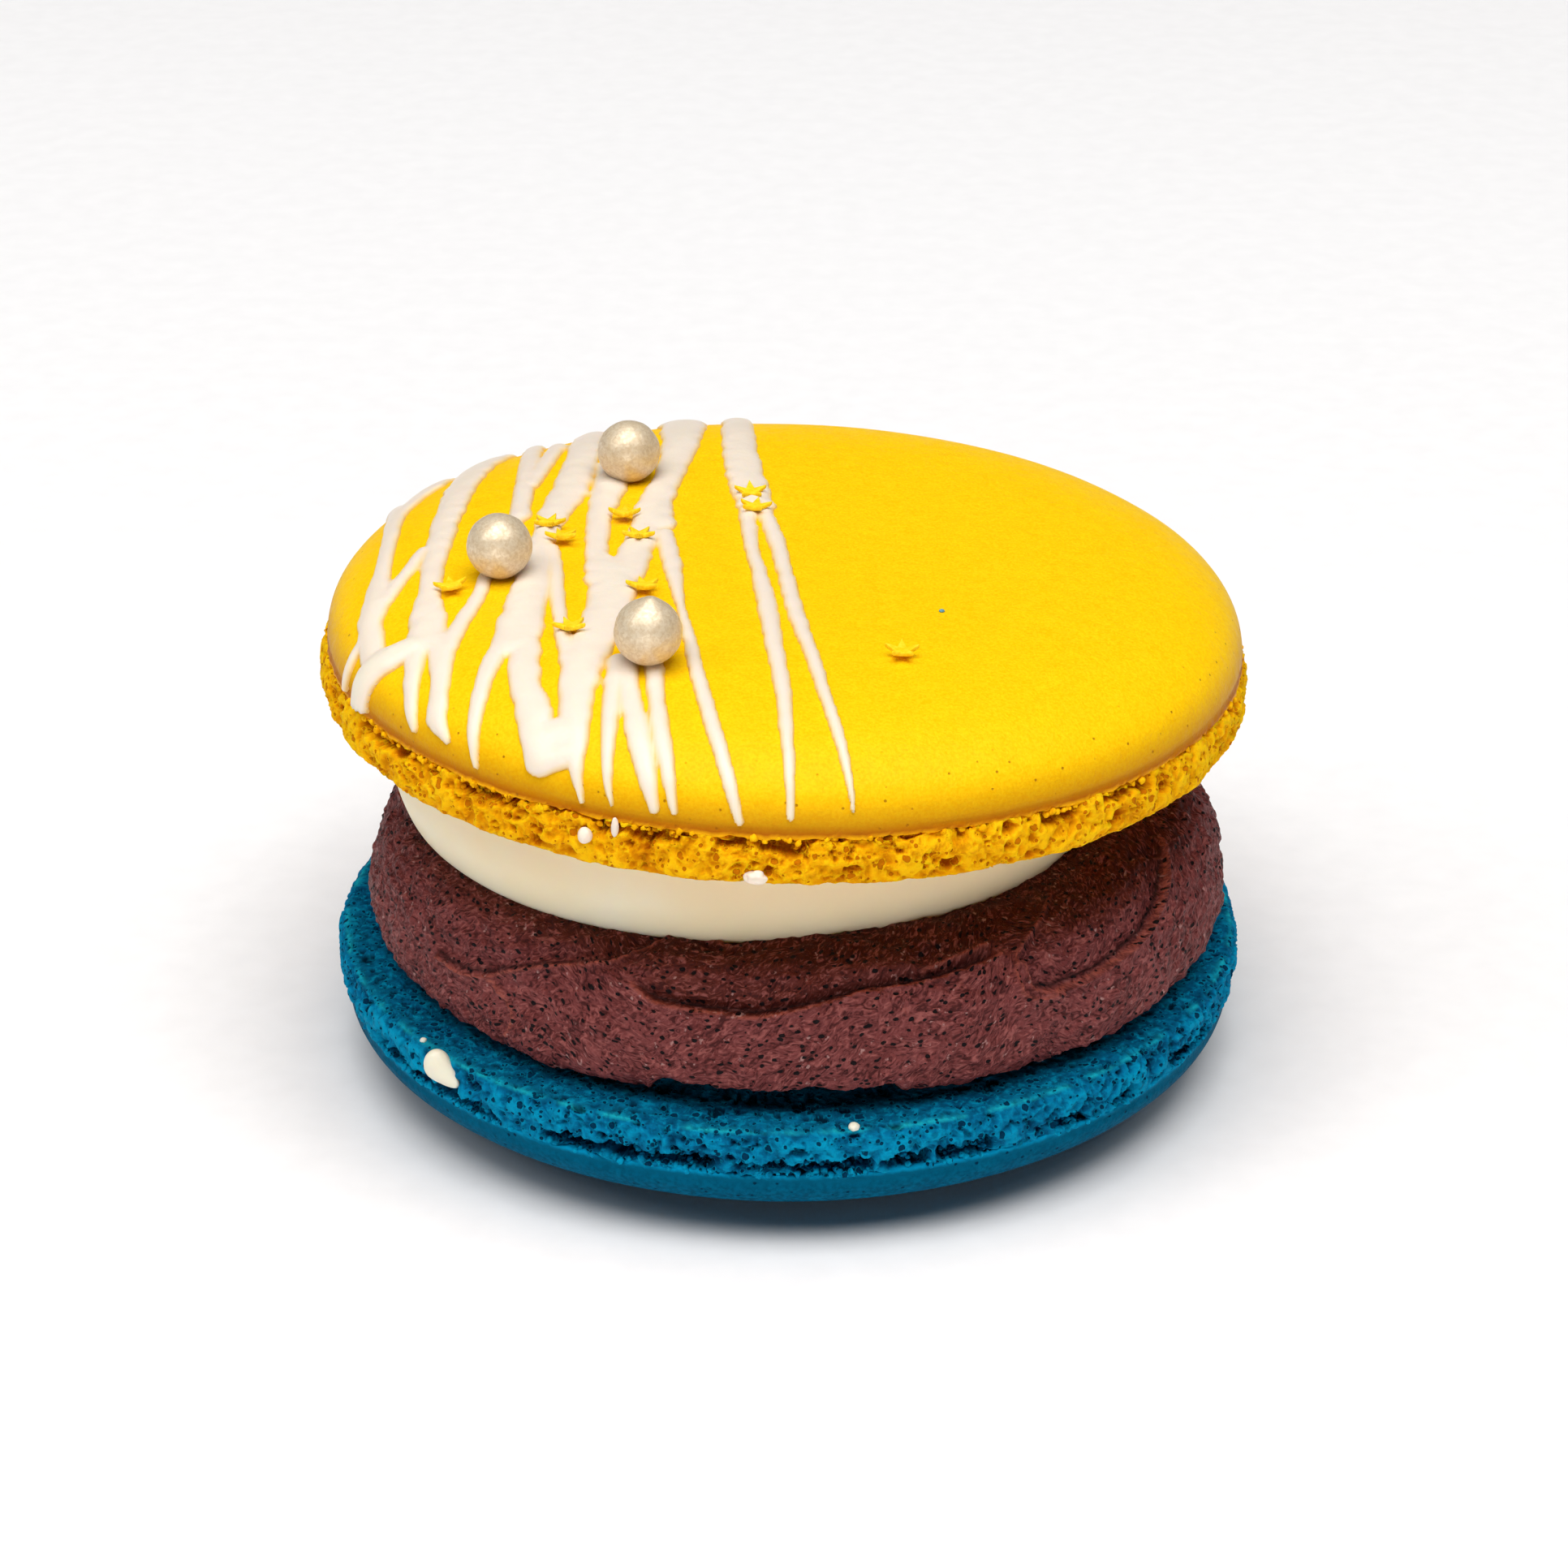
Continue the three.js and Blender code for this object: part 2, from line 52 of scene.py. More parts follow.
# The exponents of a cap's profile: how square it is outwards, and how flat on top.
LOWER_CAP_ROUNDNESS = 3.4
UPPER_CAP_ROUNDNESS = 5.0
CAP_FLATNESS = 2.5
LOWER_CAP_HEIGHT = 5.0
UPPER_CAP_HEIGHT = 5.6
REST_SPOT_RADIUS = 11.0
LOWER_SHELL_Z = LOWER_CAP_HEIGHT + FOOT_HEIGHT
PLUM_X = 0.4
PLUM_BOTTOM = 8.25
CREAM_X = -2.2
CREAM_BOTTOM = 16.55
UPPER_SHELL_X = -0.27
UPPER_SHELL_Z = 23.75
UPPER_TILT = math.radians(1.47)

# Shell coordinates, with the flat face at z = 0 and the cap above, to the macaron's.
LOWER_PLACE = Matrix.Translation((0, 0, LOWER_SHELL_Z)) @ Matrix.Diagonal((1, 1, -1, 1))
UPPER_PLACE = Matrix.Translation((UPPER_SHELL_X, 0, UPPER_SHELL_Z)) @ Matrix.Rotation(UPPER_TILT, 4, "Y")


# ---- Camera, light and floor ----

CAMERA_X = -0.27
CAMERA_Y = -231.0
CAMERA_Z = 129.56
CAMERA_PITCH_DOWN = 26.07
CAMERA_LENS = 95.16
SENSOR_WIDTH = 36.0
# Each lamp's place, what it shines at, its width and height, all in metres, and its power in watts.
LAMPS = {
    "overhead softbox": ((-0.03, -0.3, 1.45), (0, 0, 0), 1.5, 1.5, 26.0),
    "left window": ((-1.0, -0.4, 1.1), (0, 0, 0.02), 0.8, 0.8, 4.2),
    "right window": ((0.8, -0.3, 1.25), (0, 0, 0.02), 0.8, 0.8, 3.4),
    "front reflector": ((0, -1.4, 0.1), (0, 0, 0.02), 1.4, 0.19, 4.2),
}
LAMP_COLOR = (1.0, 0.985, 0.97)
SKY_COLOR = (0.93, 0.96, 1.0, 1)
SKY_STRENGTH = 0.03
FLOOR_HALF_WIDTH = 4.0
FLOOR_WHITE = (0.9, 0.9, 0.91)
FLOOR_PALEST = (0.93, 0.93, 0.94)


def in_scene(name, data):
    made = bpy.data.objects.new(name, data)
    bpy.context.scene.collection.objects.link(made)
    return made


def make_camera():
    camera = bpy.data.cameras.new("camera")
    camera.sensor_width = SENSOR_WIDTH
    camera.lens = CAMERA_LENS
    camera.clip_start = 0.01
    camera.clip_end = 5.0
    holder = in_scene("camera", camera)
    holder.location = (CAMERA_X * MM, CAMERA_Y * MM, CAMERA_Z * MM)
    holder.rotation_euler = (math.radians(90 - CAMERA_PITCH_DOWN), 0, 0)
    bpy.context.scene.camera = holder


def make_lighting():
    world = bpy.data.worlds.new("studio")
    world.use_nodes = True
    background = world.node_tree.nodes["Background"]
    background.inputs["Color"].default_value = SKY_COLOR
    background.inputs["Strength"].default_value = SKY_STRENGTH
    bpy.context.scene.world = world
    for name, (place, aim, width, height, power) in LAMPS.items():
        lamp = bpy.data.lights.new(name, "AREA")
        lamp.shape = "ELLIPSE"
        lamp.size = width
        lamp.size_y = height
        lamp.energy = power
        lamp.color = LAMP_COLOR
        holder = in_scene(name, lamp)
        holder.location = place
        towards = Vector(aim) - Vector(place)
        holder.rotation_euler = towards.to_track_quat("-Z", "Y").to_euler()
    bpy.context.scene.view_settings.view_transform = "Standard"


def make_floor():
    bm = bmesh.new()
    bmesh.ops.create_grid(bm, x_segments=8, y_segments=8, size=FLOOR_HALF_WIDTH)
    mesh = bpy.data.meshes.new("floor")
    bm.to_mesh(mesh)
    bm.free()
    floor = in_scene("floor", mesh)
    paint = Paint("floor white", base=FLOOR_WHITE, roughness=0.6)
    grain = paint.noise(scale=0.4, detail=3)
    paint.color(paint.ramp(grain, [(0.3, FLOOR_WHITE), (0.7, FLOOR_PALEST)]))
    mesh.materials.append(paint.material)


# ---- Materials ----

class Paint:
    """A Principled material whose patterns read object coordinates in millimetres."""

    def __init__(self, name, base, roughness, gloss=0.3):
        self.material = bpy.data.materials.new(name)
        self.material.use_nodes = True
        self.tree = self.material.node_tree
        self.shader = self.tree.nodes["Principled BSDF"]
        self.fix("Base Color", (*base, 1))
        self.fix("Roughness", roughness)
        self.fix("Specular IOR Level", gloss)
        place = self.tree.nodes.new("ShaderNodeTexCoord")
        self.place = self.add("Mapping", Vector=place.outputs["Object"], Scale=(1000, 1000, 1000))

    def fix(self, socket, value):
        """Sets what is the same all over the surface."""
        self.shader.inputs[socket].default_value = value

    def glow(self, weight, spread, reach):
        """Light that wanders under the surface, as far as reach in millimetres, by colour."""
        self.fix("Subsurface Weight", weight)
        self.fix("Subsurface Radius", spread)
        self.fix("Subsurface Scale", reach * MM)

    def add(self, kind, settings=None, **links):
        """Adds a node and returns its first output. Each link is an input's name, or its number
        after the word in."""
        node = self.tree.nodes.new("ShaderNode" + kind)
        for name, value in (settings or {}).items():
            setattr(node, name, value)
        for name, value in links.items():
            key = int(name[2:]) if name.startswith("in") and name[2:].isdigit() else name
            socket = node.inputs[key]
            if isinstance(value, bpy.types.NodeSocket):
                self.tree.links.new(value, socket)
            else:
                socket.default_value = value
        return node.outputs[0]

    def noise(self, scale, detail=2.0, distortion=0.0, place=None):
        """Noise between 0 and 1 with about scale features to the millimetre."""
        links = {"Vector": place or self.place, "Scale": scale, "Detail": detail}
        return self.add("TexNoise", {"noise_dimensions": "3D"}, Distortion=distortion, **links)

    def cells(self, scale, place=None):
        """Distance to the nearest of scattered points, about scale of them to the millimetre."""
        return self.add("TexVoronoi", {"feature": "F1"}, Vector=place or self.place, Scale=scale)

    def stretched(self, scale, place):
        return self.add("Mapping", Vector=place, Scale=scale)

    def attribute(self, name, output="Fac"):
        node = self.tree.nodes.new("ShaderNodeAttribute")
        node.attribute_name = name
        return node.outputs[output]

    def math(self, operation, a, b=0.5, c=0.5):
        return self.add("Math", {"operation": operation}, in0=a, in1=b, in2=c)

    def opposite(self, share):
        return self.math("SUBTRACT", 1.0, share)

    def ramp(self, value, stops):
        """Colours or greys between stops of (place, colour)."""
        node = self.tree.nodes.new("ShaderNodeValToRGB")
        elements = node.color_ramp.elements
        while len(elements) < len(stops):
            elements.new(0.5)
        for element, (place, shade) in zip(elements, stops):
            element.position = place
            element.color = (*shade, 1) if isinstance(shade, tuple) else (shade, shade, shade, 1)
        self.tree.links.new(value, node.inputs["Fac"])
        return node.outputs["Color"]

    def mix(self, share, first, second, blend="MIX"):
        """Colours mixed by share, which is a socket or a number."""
        node = self.tree.nodes.new("ShaderNodeMix")
        node.data_type = "RGBA"
        node.blend_type = blend
        for key, value in ((0, share), (6, first), (7, second)):
            if isinstance(value, bpy.types.NodeSocket):
                self.tree.links.new(value, node.inputs[key])
            else:
                node.inputs[key].default_value = (*value, 1) if isinstance(value, tuple) else value
        return node.outputs[2]

    def color(self, socket):
        self.tree.links.new(socket, self.shader.inputs["Base Color"])

    def roughness(self, socket):
        self.tree.links.new(socket, self.shader.inputs["Roughness"])

    def bump(self, layers):
        """Relief from layers of (height socket, depth in millimetres)."""
        normal = None
        for height, depth in layers:
            node = self.tree.nodes.new("ShaderNodeBump")
            node.inputs["Strength"].default_value = 1.0
            node.inputs["Distance"].default_value = depth * MM
            self.tree.links.new(height, node.inputs["Height"])
            if normal:
                self.tree.links.new(normal, node.inputs["Normal"])
            normal = node.outputs["Normal"]
        self.tree.links.new(normal, self.shader.inputs["Normal"])


def yellow_cap_paint():
    paint = Paint("yellow cap", base=(0.95, 0.55, 0.003), roughness=0.45, gloss=0.05)
    paint.glow(0.12, (1.0, 0.6, 0.15), 0.8)
    # Painted shade on the downturned rim, darkest at its lower edge.
    rim_shade = (0.4, 0.085, 0.0003)
    torn_skin = (0.98, 0.47, 0.003)
    pinhole = (0.38, 0.13, 0.003)
    mottle = paint.noise(0.9, detail=4)
    fine = paint.noise(5.5, detail=3)
    patches = paint.ramp(mottle, [(0.3, (0.93, 0.52, 0.0008)), (0.7, (0.97, 0.59, 0.002))])
    grains = paint.ramp(fine, [(0.38, (0.9, 0.48, 0.0008)), (0.6, (0.98, 0.64, 0.008))])
    base = paint.mix(0.45, patches, grains)
    base = paint.mix(paint.attribute("skirt"), base, rim_shade)
    base = paint.mix(paint.attribute("lace"), base, torn_skin)
    # Pinholes, mostly near the rim, painted darker as the shade in them.
    dots = paint.ramp(paint.cells(1.15), [(0.06, 0.8), (0.11, 0.0)])
    pinholes = paint.math("MULTIPLY", dots, paint.attribute("pinholes"))
    paint.color(paint.mix(pinholes, base, pinhole))
    paint.roughness(paint.ramp(paint.noise(1.4, detail=3), [(0.3, 0.36), (0.7, 0.52)]))
    paint.bump([
        (paint.noise(1.6, detail=5), 0.07),
        (paint.noise(6.5, detail=3), 0.035),
        (paint.opposite(pinholes), 0.06),
    ])
    return paint.material


def teal_cap_paint():
    paint = Paint("teal cap", base=(0.0005, 0.12, 0.22), roughness=0.5, gloss=0.008)
    # Painted shade on the downturned rim, darkest at its lower edge.
    rim_shade = (0.0005, 0.1, 0.19)
    torn_skin = (0.001, 0.26, 0.48)
    pinhole = (0.001, 0.03, 0.07)
    mottle = paint.noise(0.8, detail=4)
    patches = paint.ramp(mottle, [(0.3, (0.0004, 0.073, 0.15)), (0.7, (0.0006, 0.108, 0.2))])
    fine = paint.ramp(paint.noise(3.5, detail=5), [(0.36, 0.5), (0.62, 1.25)])
    base = paint.mix(1.0, patches, fine, "MULTIPLY")
    base = paint.mix(paint.attribute("skirt"), base, rim_shade)
    base = paint.mix(paint.attribute("lace"), base, torn_skin)
    # Pinholes, mostly near the rim, painted darker as the shade in them.
    dots = paint.ramp(paint.cells(1.3), [(0.09, 1.0), (0.16, 0.0)])
    pinholes = paint.math("MULTIPLY", dots, paint.attribute("pinholes"))
    paint.color(paint.mix(pinholes, base, pinhole))
    paint.bump([
        (paint.noise(2.2, detail=4), 0.06),
        (paint.noise(7.0, detail=2), 0.025),
        (paint.opposite(pinholes), 0.07),
    ])
    return paint.material


# Crumb colours: light for what stands out, deep as painted shade in hollows and caves, and the pale seam
# with its painted highlight.
YELLOW_CRUMB = {"light": (0.97, 0.53, 0.004), "middle": (0.84, 0.37, 0.0008), "deep": (0.52, 0.14, 0.0005),
                "seam_and_highlight": (0.98, 0.62, 0.01)}
TEAL_CRUMB = {"light": (0.0008, 0.28, 0.48), "middle": (0.0005, 0.15, 0.31), "deep": (0.0002, 0.012, 0.045),
              "seam_and_highlight": (0.01, 0.45, 0.55)}


def crumb_paint(name, colors, glow=None):
    """Baked crumb with painted light and shade: lighter on what stands out, richer and darker in
    the hollows and caves, with a thin pale seam round its edge that is partly a painted highlight.
    Its glow is given as Paint.glow takes it."""
    light, middle, deep, seam_and_highlight = (colors[key] for key in ("light", "middle", "deep", "seam_and_highlight"))
    paint = Paint(name, base=middle, roughness=0.75, gloss=0.03)
    if glow:
        paint.glow(*glow)
    # Painted shade and light: darker and richer in the hollows and caves, lighter where the crumb stands
    # out.
    base = paint.ramp(paint.attribute("hollow"), [(0.12, light), (0.4, middle), (0.8, deep)])
    grain = paint.noise(2.0, detail=4, distortion=0.5)
    base = paint.mix(paint.ramp(grain, [(0.34, 0.5), (0.48, 0.0)]), base, deep)
    base = paint.mix(paint.ramp(grain, [(0.52, 0.0), (0.66, 0.6)]), base, light)
    # The pale seam round the edge, partly a painted highlight.
    base = paint.mix(paint.attribute("seam_and_highlight"), base, seam_and_highlight)
    # Round pores of two sizes, painted dark as the shade in them, each with a paler rim.
    uneven = paint.math("MULTIPLY", paint.noise(3.2, detail=2), 0.3)
    small = paint.math("ADD", paint.cells(1.9), uneven)
    large = paint.math("ADD", paint.cells(1.0), uneven)
    near = paint.math("MINIMUM", small, large)
    base = paint.mix(paint.ramp(near, [(0.38, 0.7), (0.47, 0.0)]), base, light)
    pores = paint.ramp(near, [(0.34, 1.0), (0.38, 0.0)])
    paint.color(paint.mix(paint.math("MULTIPLY", pores, 0.92), base, deep))
    paint.bump([
        (grain, 0.18),
        (paint.noise(6.0, detail=3), 0.05),
        (paint.opposite(pores), 0.18),
    ])
    return paint.material


def plum_paint():
    """Buttercream that the knife has drawn into strands: paler on the side, and darker and browner
    on top and in the long hollow, by painted shade and a painted yellow reflection.
    """
    paint = Paint("plum buttercream", base=(0.15, 0.036, 0.036), roughness=0.5, gloss=0.13)
    paint.glow(0.15, (1.0, 0.35, 0.3), 0.5)
    between_strands = (0.04, 0.006, 0.006)
    raised_strand = (0.33, 0.1, 0.09)
    lit_lip_crest = (0.36, 0.09, 0.06)
    fleck = (0.48, 0.27, 0.25)
    shadow_under_lip = (0.012, 0.003, 0.003)
    pore = (0.004, 0.001, 0.002)
    flow = paint.attribute("flow", "Vector")
    broad = paint.noise(0.35, detail=3)
    # The crown is painted darker and browner, as the shade under the yellow shell and its reflected yellow.
    side = paint.ramp(broad, [(0.3, (0.13, 0.025, 0.024)), (0.7, (0.2, 0.049, 0.048))])
    top = paint.ramp(broad, [(0.3, (0.055, 0.0065, 0.001)), (0.7, (0.085, 0.011, 0.0014))])
    base = paint.mix(paint.attribute("crown"), side, top)
    # Strands along the strokes, and others across them in patches.
    slanted = paint.add("Mapping", Vector=flow, Rotation=(0, 0, 0.8))
    strands, crossing = [
        paint.noise(1.0, detail=5, distortion=1.6, place=paint.stretched(scale, along))
        for scale, along in (((1.4, 2.8, 2.8), flow), ((1.5, 3.0, 3.0), slanted))
    ]
    where = paint.ramp(paint.noise(0.5, detail=2), [(0.42, 0.0), (0.55, 1.0)])
    strands = paint.mix(where, strands, crossing)
    base = paint.mix(paint.ramp(strands, [(0.38, 0.85), (0.49, 0.0)]), base, between_strands)
    base = paint.mix(paint.ramp(strands, [(0.52, 0.0), (0.64, 0.75)]), base, raised_strand)
    broken = paint.ramp(strands, [(0.35, 0.35), (0.6, 0.9)])
    # Painted light along the crest of each knife lip.
    base = paint.mix(paint.math("MULTIPLY", paint.attribute("ridge"), broken), base, lit_lip_crest)
    flecks = paint.ramp(paint.noise(1.9, detail=3, place=slanted), [(0.66, 0.0), (0.72, 0.7)])
    base = paint.mix(flecks, base, fleck)
    # Painted shadow under each knife lip.
    base = paint.mix(paint.attribute("undercut_shadow"), base, shadow_under_lip)
    # Small pits, painted near black as the shade in them.
    uneven = paint.math("MULTIPLY", paint.noise(2.6, detail=2), 0.55)
    near = paint.cells(1.0, place=paint.stretched((1.5, 2.2, 2.2), flow))
    pores = paint.ramp(paint.math("ADD", near, uneven), [(0.485, 1.0), (0.525, 0.0)])
    paint.color(paint.mix(pores, base, pore))
    paint.roughness(paint.ramp(strands, [(0.35, 0.62), (0.7, 0.4)]))
    paint.bump([
        (strands, 0.2),
        (paint.noise(5.5, detail=3), 0.06),
        (paint.opposite(pores), 0.2),
    ])
    return paint.material


def cream_paint():
    """Ivory, turned tan towards the right by painted shade with a painted warm reflection."""
    paint = Paint("ivory cream", base=(0.96, 0.82, 0.58), roughness=0.45)
    paint.glow(0.5, (1.0, 0.75, 0.45), 2.2)
    # Painted shade, tinted by reflected yellow, deepening towards the right.
    shaded_warm_ivory = (0.96, 0.72, 0.38)
    shading_per_mm = 0.02
    broad = paint.noise(0.12, detail=3)
    ivory = paint.ramp(broad, [(0.3, (0.94, 0.8, 0.54)), (0.7, (0.98, 0.88, 0.67))])
    across = paint.add("SeparateXYZ", in0=paint.place)
    shading = paint.math("MULTIPLY_ADD", across, shading_per_mm)
    paint.color(paint.mix(paint.ramp(shading, [(0.3, 0.0), (0.9, 0.75)]), ivory, shaded_warm_ivory))
    paint.roughness(paint.ramp(paint.noise(0.6, detail=3), [(0.3, 0.38), (0.7, 0.5)]))
    paint.bump([(paint.noise(0.5, detail=3), 0.05), (paint.noise(6.0, detail=2), 0.006)])
    return paint.material


def drizzle_paint():
    """White chocolate, yellowish where it lies thin."""
    paint = Paint("white chocolate", base=(0.84, 0.75, 0.65), roughness=0.32, gloss=0.35)
    paint.glow(0.35, (1.0, 0.7, 0.4), 0.8)
    by_thickness = [
        (0.05, (0.9, 0.54, 0.13)),
        (0.2, (0.89, 0.71, 0.47)),
        (0.3, (0.87, 0.745, 0.63)),
        (0.8, (0.84, 0.81, 0.66)),
    ]
    base = paint.ramp(paint.attribute("thickness"), by_thickness)
    soft = paint.ramp(paint.noise(0.7, detail=3), [(0.3, 0.97), (0.7, 1.0)])
    paint.color(paint.mix(1.0, base, soft, "MULTIPLY"))
    paint.bump([(paint.noise(1.2, detail=3), 0.04), (paint.noise(5.0, detail=2), 0.01)])
    return paint.material


def pearl_paint():
    """Sugar under a thin pearly lustre of fine flakes."""
    paint = Paint("sugar pearl", base=(0.88, 0.78, 0.62), roughness=0.4, gloss=0.5)
    paint.fix("Metallic", 0.3)
    paint.fix("Coat Weight", 0.1)
    paint.fix("Coat Roughness", 0.3)
    paint.glow(0.1, (1.0, 0.8, 0.5), 0.5)
    flakes = paint.noise(4.2, detail=5, distortion=0.8)
    paint.color(paint.ramp(flakes, [(0.35, (0.66, 0.52, 0.34)), (0.65, (0.8, 0.68, 0.5))]))
    paint.roughness(paint.ramp(flakes, [(0.4, 0.48), (0.62, 0.38)]))
    paint.bump([(paint.noise(1.3, detail=2), 0.04), (paint.noise(6.0, detail=3), 0.012)])
    return paint.material


def confetti_paint():
    paint = Paint("star confetti", base=(0.93, 0.55, 0.01), roughness=0.5, gloss=0.1)
    speckle = paint.noise(4.0, detail=3)
    paint.color(paint.ramp(speckle, [(0.35, (0.97, 0.6, 0.004)), (0.65, (1.0, 0.74, 0.03))]))
    paint.bump([(paint.noise(5.0, detail=2), 0.02)])
    return paint.material


def speck_paint():
    light = (0.2, 0.42, 0.5)
    paint = Paint("blue speck", base=light, roughness=0.45)
    paint.color(paint.ramp(paint.noise(3.0, detail=3), [(0.35, (0.08, 0.25, 0.35)), (0.65, light)]))
    paint.bump([(paint.noise(4.0, detail=2), 0.02)])
    return paint.material


# ---- Making shapes ----

def smoothstep(value, low, high):
    t = np.clip((value - low) / (high - low), 0, 1)
    return t * t * (3 - 2 * t)


def bell(value, width):
    return np.exp(-((value / width) ** 2))


def wrapped(degrees):
    return (degrees + 180) % 360 - 180


def bearing(points):
    return np.degrees(np.arctan2(points[:, 0], -points[:, 1]))


def round_the_rim(degrees, radius, height):
    turn = math.radians(degrees)
    return (radius * math.sin(turn), -radius * math.cos(turn), height)


def moved_out(points, distance):
    """Points moved straight away from the Z axis."""
    radius = np.maximum(np.hypot(points[:, 0], points[:, 1]), 1e-6)
    moved = points.copy()
    moved[:, :2] *= (1 + distance / radius)[:, None]
    return moved


def noise_at(points, scale, seed=0.0):
    """Smooth noise from about -1 to 1 at each point."""
    shift = Vector((seed * 7.3, seed * 3.1, seed * 5.7))
    return np.array([noise.noise(Vector(p) * scale + shift) for p in points])


def cells_at(points, scale, seed=0.0):
    """The distance to the nearest scattered point, and a random number for that point."""
    shift = Vector((seed * 4.7, seed * 9.1, seed * 2.3))
    rows = []
    for p in points:
        distances, centres = noise.voronoi(Vector(p) * scale + shift)
        rows.append((distances[0], noise.cell(centres[0] * 3.7 + shift)))
    return np.array(rows).T


def vertices_in(made):
    """The vertices of what a bmesh operator has returned."""
    return [item for item in made["geom"] if isinstance(item, bmesh.types.BMVert)]


# A piece is spun as a wedge that is doubled this many times, so its steps are a multiple of 32.
DOUBLINGS = 5
SAME_POINT = 1e-4


def spun(profile, steps):
    """A closed surface from a profile of (radius, height), turned round the Z axis.

    A narrow wedge is spun and then doubled, which takes far less time than one long spin."""
    bm = bmesh.new()
    line = [bm.verts.new((radius, 0, height)) for radius, height in profile]
    edges = [bm.edges.new(pair) for pair in zip(line, line[1:])]
    wedge = math.tau / 2**DOUBLINGS
    bmesh.ops.spin(bm, geom=line + edges, cent=(0, 0, 0), axis=(0, 0, 1), angle=wedge,
                   steps=steps // 2**DOUBLINGS, use_merge=False, use_duplicate=False)
    for doubling in range(DOUBLINGS):
        copied = vertices_in(bmesh.ops.duplicate(bm, geom=bm.verts[:] + bm.edges[:] + bm.faces[:]))
        turn = Matrix.Rotation(wedge * 2**doubling, 3, "Z")
        bmesh.ops.rotate(bm, verts=copied, cent=(0, 0, 0), matrix=turn)
    bmesh.ops.remove_doubles(bm, verts=bm.verts[:], dist=SAME_POINT)
    bmesh.ops.recalc_face_normals(bm, faces=bm.faces[:])
    return bm


def points_of(bm):
    return np.array([v.co[:] for v in bm.verts])


def normals_of(bm):
    bm.normal_update()
    return np.array([v.normal[:] for v in bm.verts])


def set_points(bm, points):
    for vertex, point in zip(bm.verts, points):
        vertex.co = point


def travelled_along(line):
    """How far each point of a line lies from its start, over its first two coordinates."""
    return np.concatenate([[0], np.cumsum(np.hypot(*np.diff(line, axis=0).T[:2]))])


CURVE_SAMPLES = 24


def smooth_line(points, step):
    """A smooth line through points, such as (radius, height), in steps of about that length. A
    third number in each point, such as a width, is carried along."""
    points = np.array(points, float)
    padded = np.vstack([2 * points[0] - points[1], points, 2 * points[-1] - points[-2]])
    dense = []
    for a, b, c, d in zip(padded, padded[1:], padded[2:], padded[3:]):
        for t in np.linspace(0, 1, CURVE_SAMPLES, endpoint=False):
            dense.append(0.5 * (2 * b + (c - a) * t + (2 * a - 5 * b + 4 * c - d) * t**2
                                + (3 * b - 3 * c + d - a) * t**3))
    dense = np.array(dense + [points[-1]])
    travelled = travelled_along(dense)
    places = np.linspace(0, travelled[-1], max(2, round(travelled[-1] / step) + 1))
    return np.column_stack([np.interp(places, travelled, column) for column in dense.T])


def over(count, active, values):
    """The values of the active points in a list for all points, with 0 for the others."""
    spread = np.zeros((count, *values.shape[1:]))
    spread[active] = values
    return spread


def piece(name, bm, paint, replaced=None, place=None, attributes=None):
    """Stores a mesh worked out in millimetres as a named piece that rides on the macaron."""
    if place:
        bmesh.ops.transform(bm, matrix=place, verts=bm.verts[:])
    bmesh.ops.scale(bm, vec=(MM, MM, MM), verts=bm.verts[:])
    bmesh.ops.recalc_face_normals(bm, faces=bm.faces[:])
    mesh = bpy.data.meshes.new(name)
    bm.to_mesh(mesh)
    bm.free()
    mesh.polygons.foreach_set("use_smooth", [True] * len(mesh.polygons))
    for key, values in (attributes or {}).items():
        kind, field = ("FLOAT", "value") if values.ndim == 1 else ("FLOAT_VECTOR", "vector")
        mesh.attributes.new(key, kind, "POINT").data.foreach_set(field, values.ravel())
    mesh.materials.append(paint)
    made = in_scene(name, mesh)
    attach(made, ROOT)
    if replaced:
        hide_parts(replaced)


# ---- Shells ----

CAP_SAMPLES = 601


def cap_table(cap_height, roundness):
    """Distance over a cap's surface from the centre of its top, with the radius and height there."""
    angle = (1 - np.linspace(0, 1, CAP_SAMPLES)) * math.pi / 2
    radius = CAP_RADIUS * np.cos(angle) ** (2 / roundness)
    height = FOOT_HEIGHT + cap_height * np.sin(angle) ** (2 / CAP_FLATNESS)
    return travelled_along(np.column_stack([radius, height])), radius, height


LOWER_CAP = cap_table(LOWER_CAP_HEIGHT, LOWER_CAP_ROUNDNESS)
UPPER_CAP = cap_table(UPPER_CAP_HEIGHT, UPPER_CAP_ROUNDNESS)


def on_cap(across, back, lift):
    """Where places on the flattened upper cap fall, raised by lift along the outward direction."""
    distance, radius, height = UPPER_CAP
    away = np.hypot(across, back)
    at_radius = np.interp(away, distance, radius)
    at_height = np.interp(away, distance, height)
    run = np.interp(away, distance, np.gradient(radius, distance))
    drop = np.interp(away, distance, np.gradient(height, distance))
    out = at_radius - drop * lift
    turn = np.where(away > 1e-6, out / np.maximum(away, 1e-6), 0)
    return np.column_stack([across * turn, back * turn, at_height + run * lift])


# Where the skin has torn off the foot, in degrees round. The front's come first.
LOWER_OPENINGS = [(-62, -39), (-31, -9), (-6, 1), (2, 9), (11, 17), (19, 25), (34, 38), (44, 47),
                  (55, 66), (88, 97), (120, 132), (150, 158), (-178, -166), (-140, -130), (-104, -92)]
UPPER_OPENINGS = [(-62, -30), (-24, 14), (20, 48), (70, 96), (110, 150), (-170, -120), (-100, -80)]
OPENING_SOFTNESS = 0.8


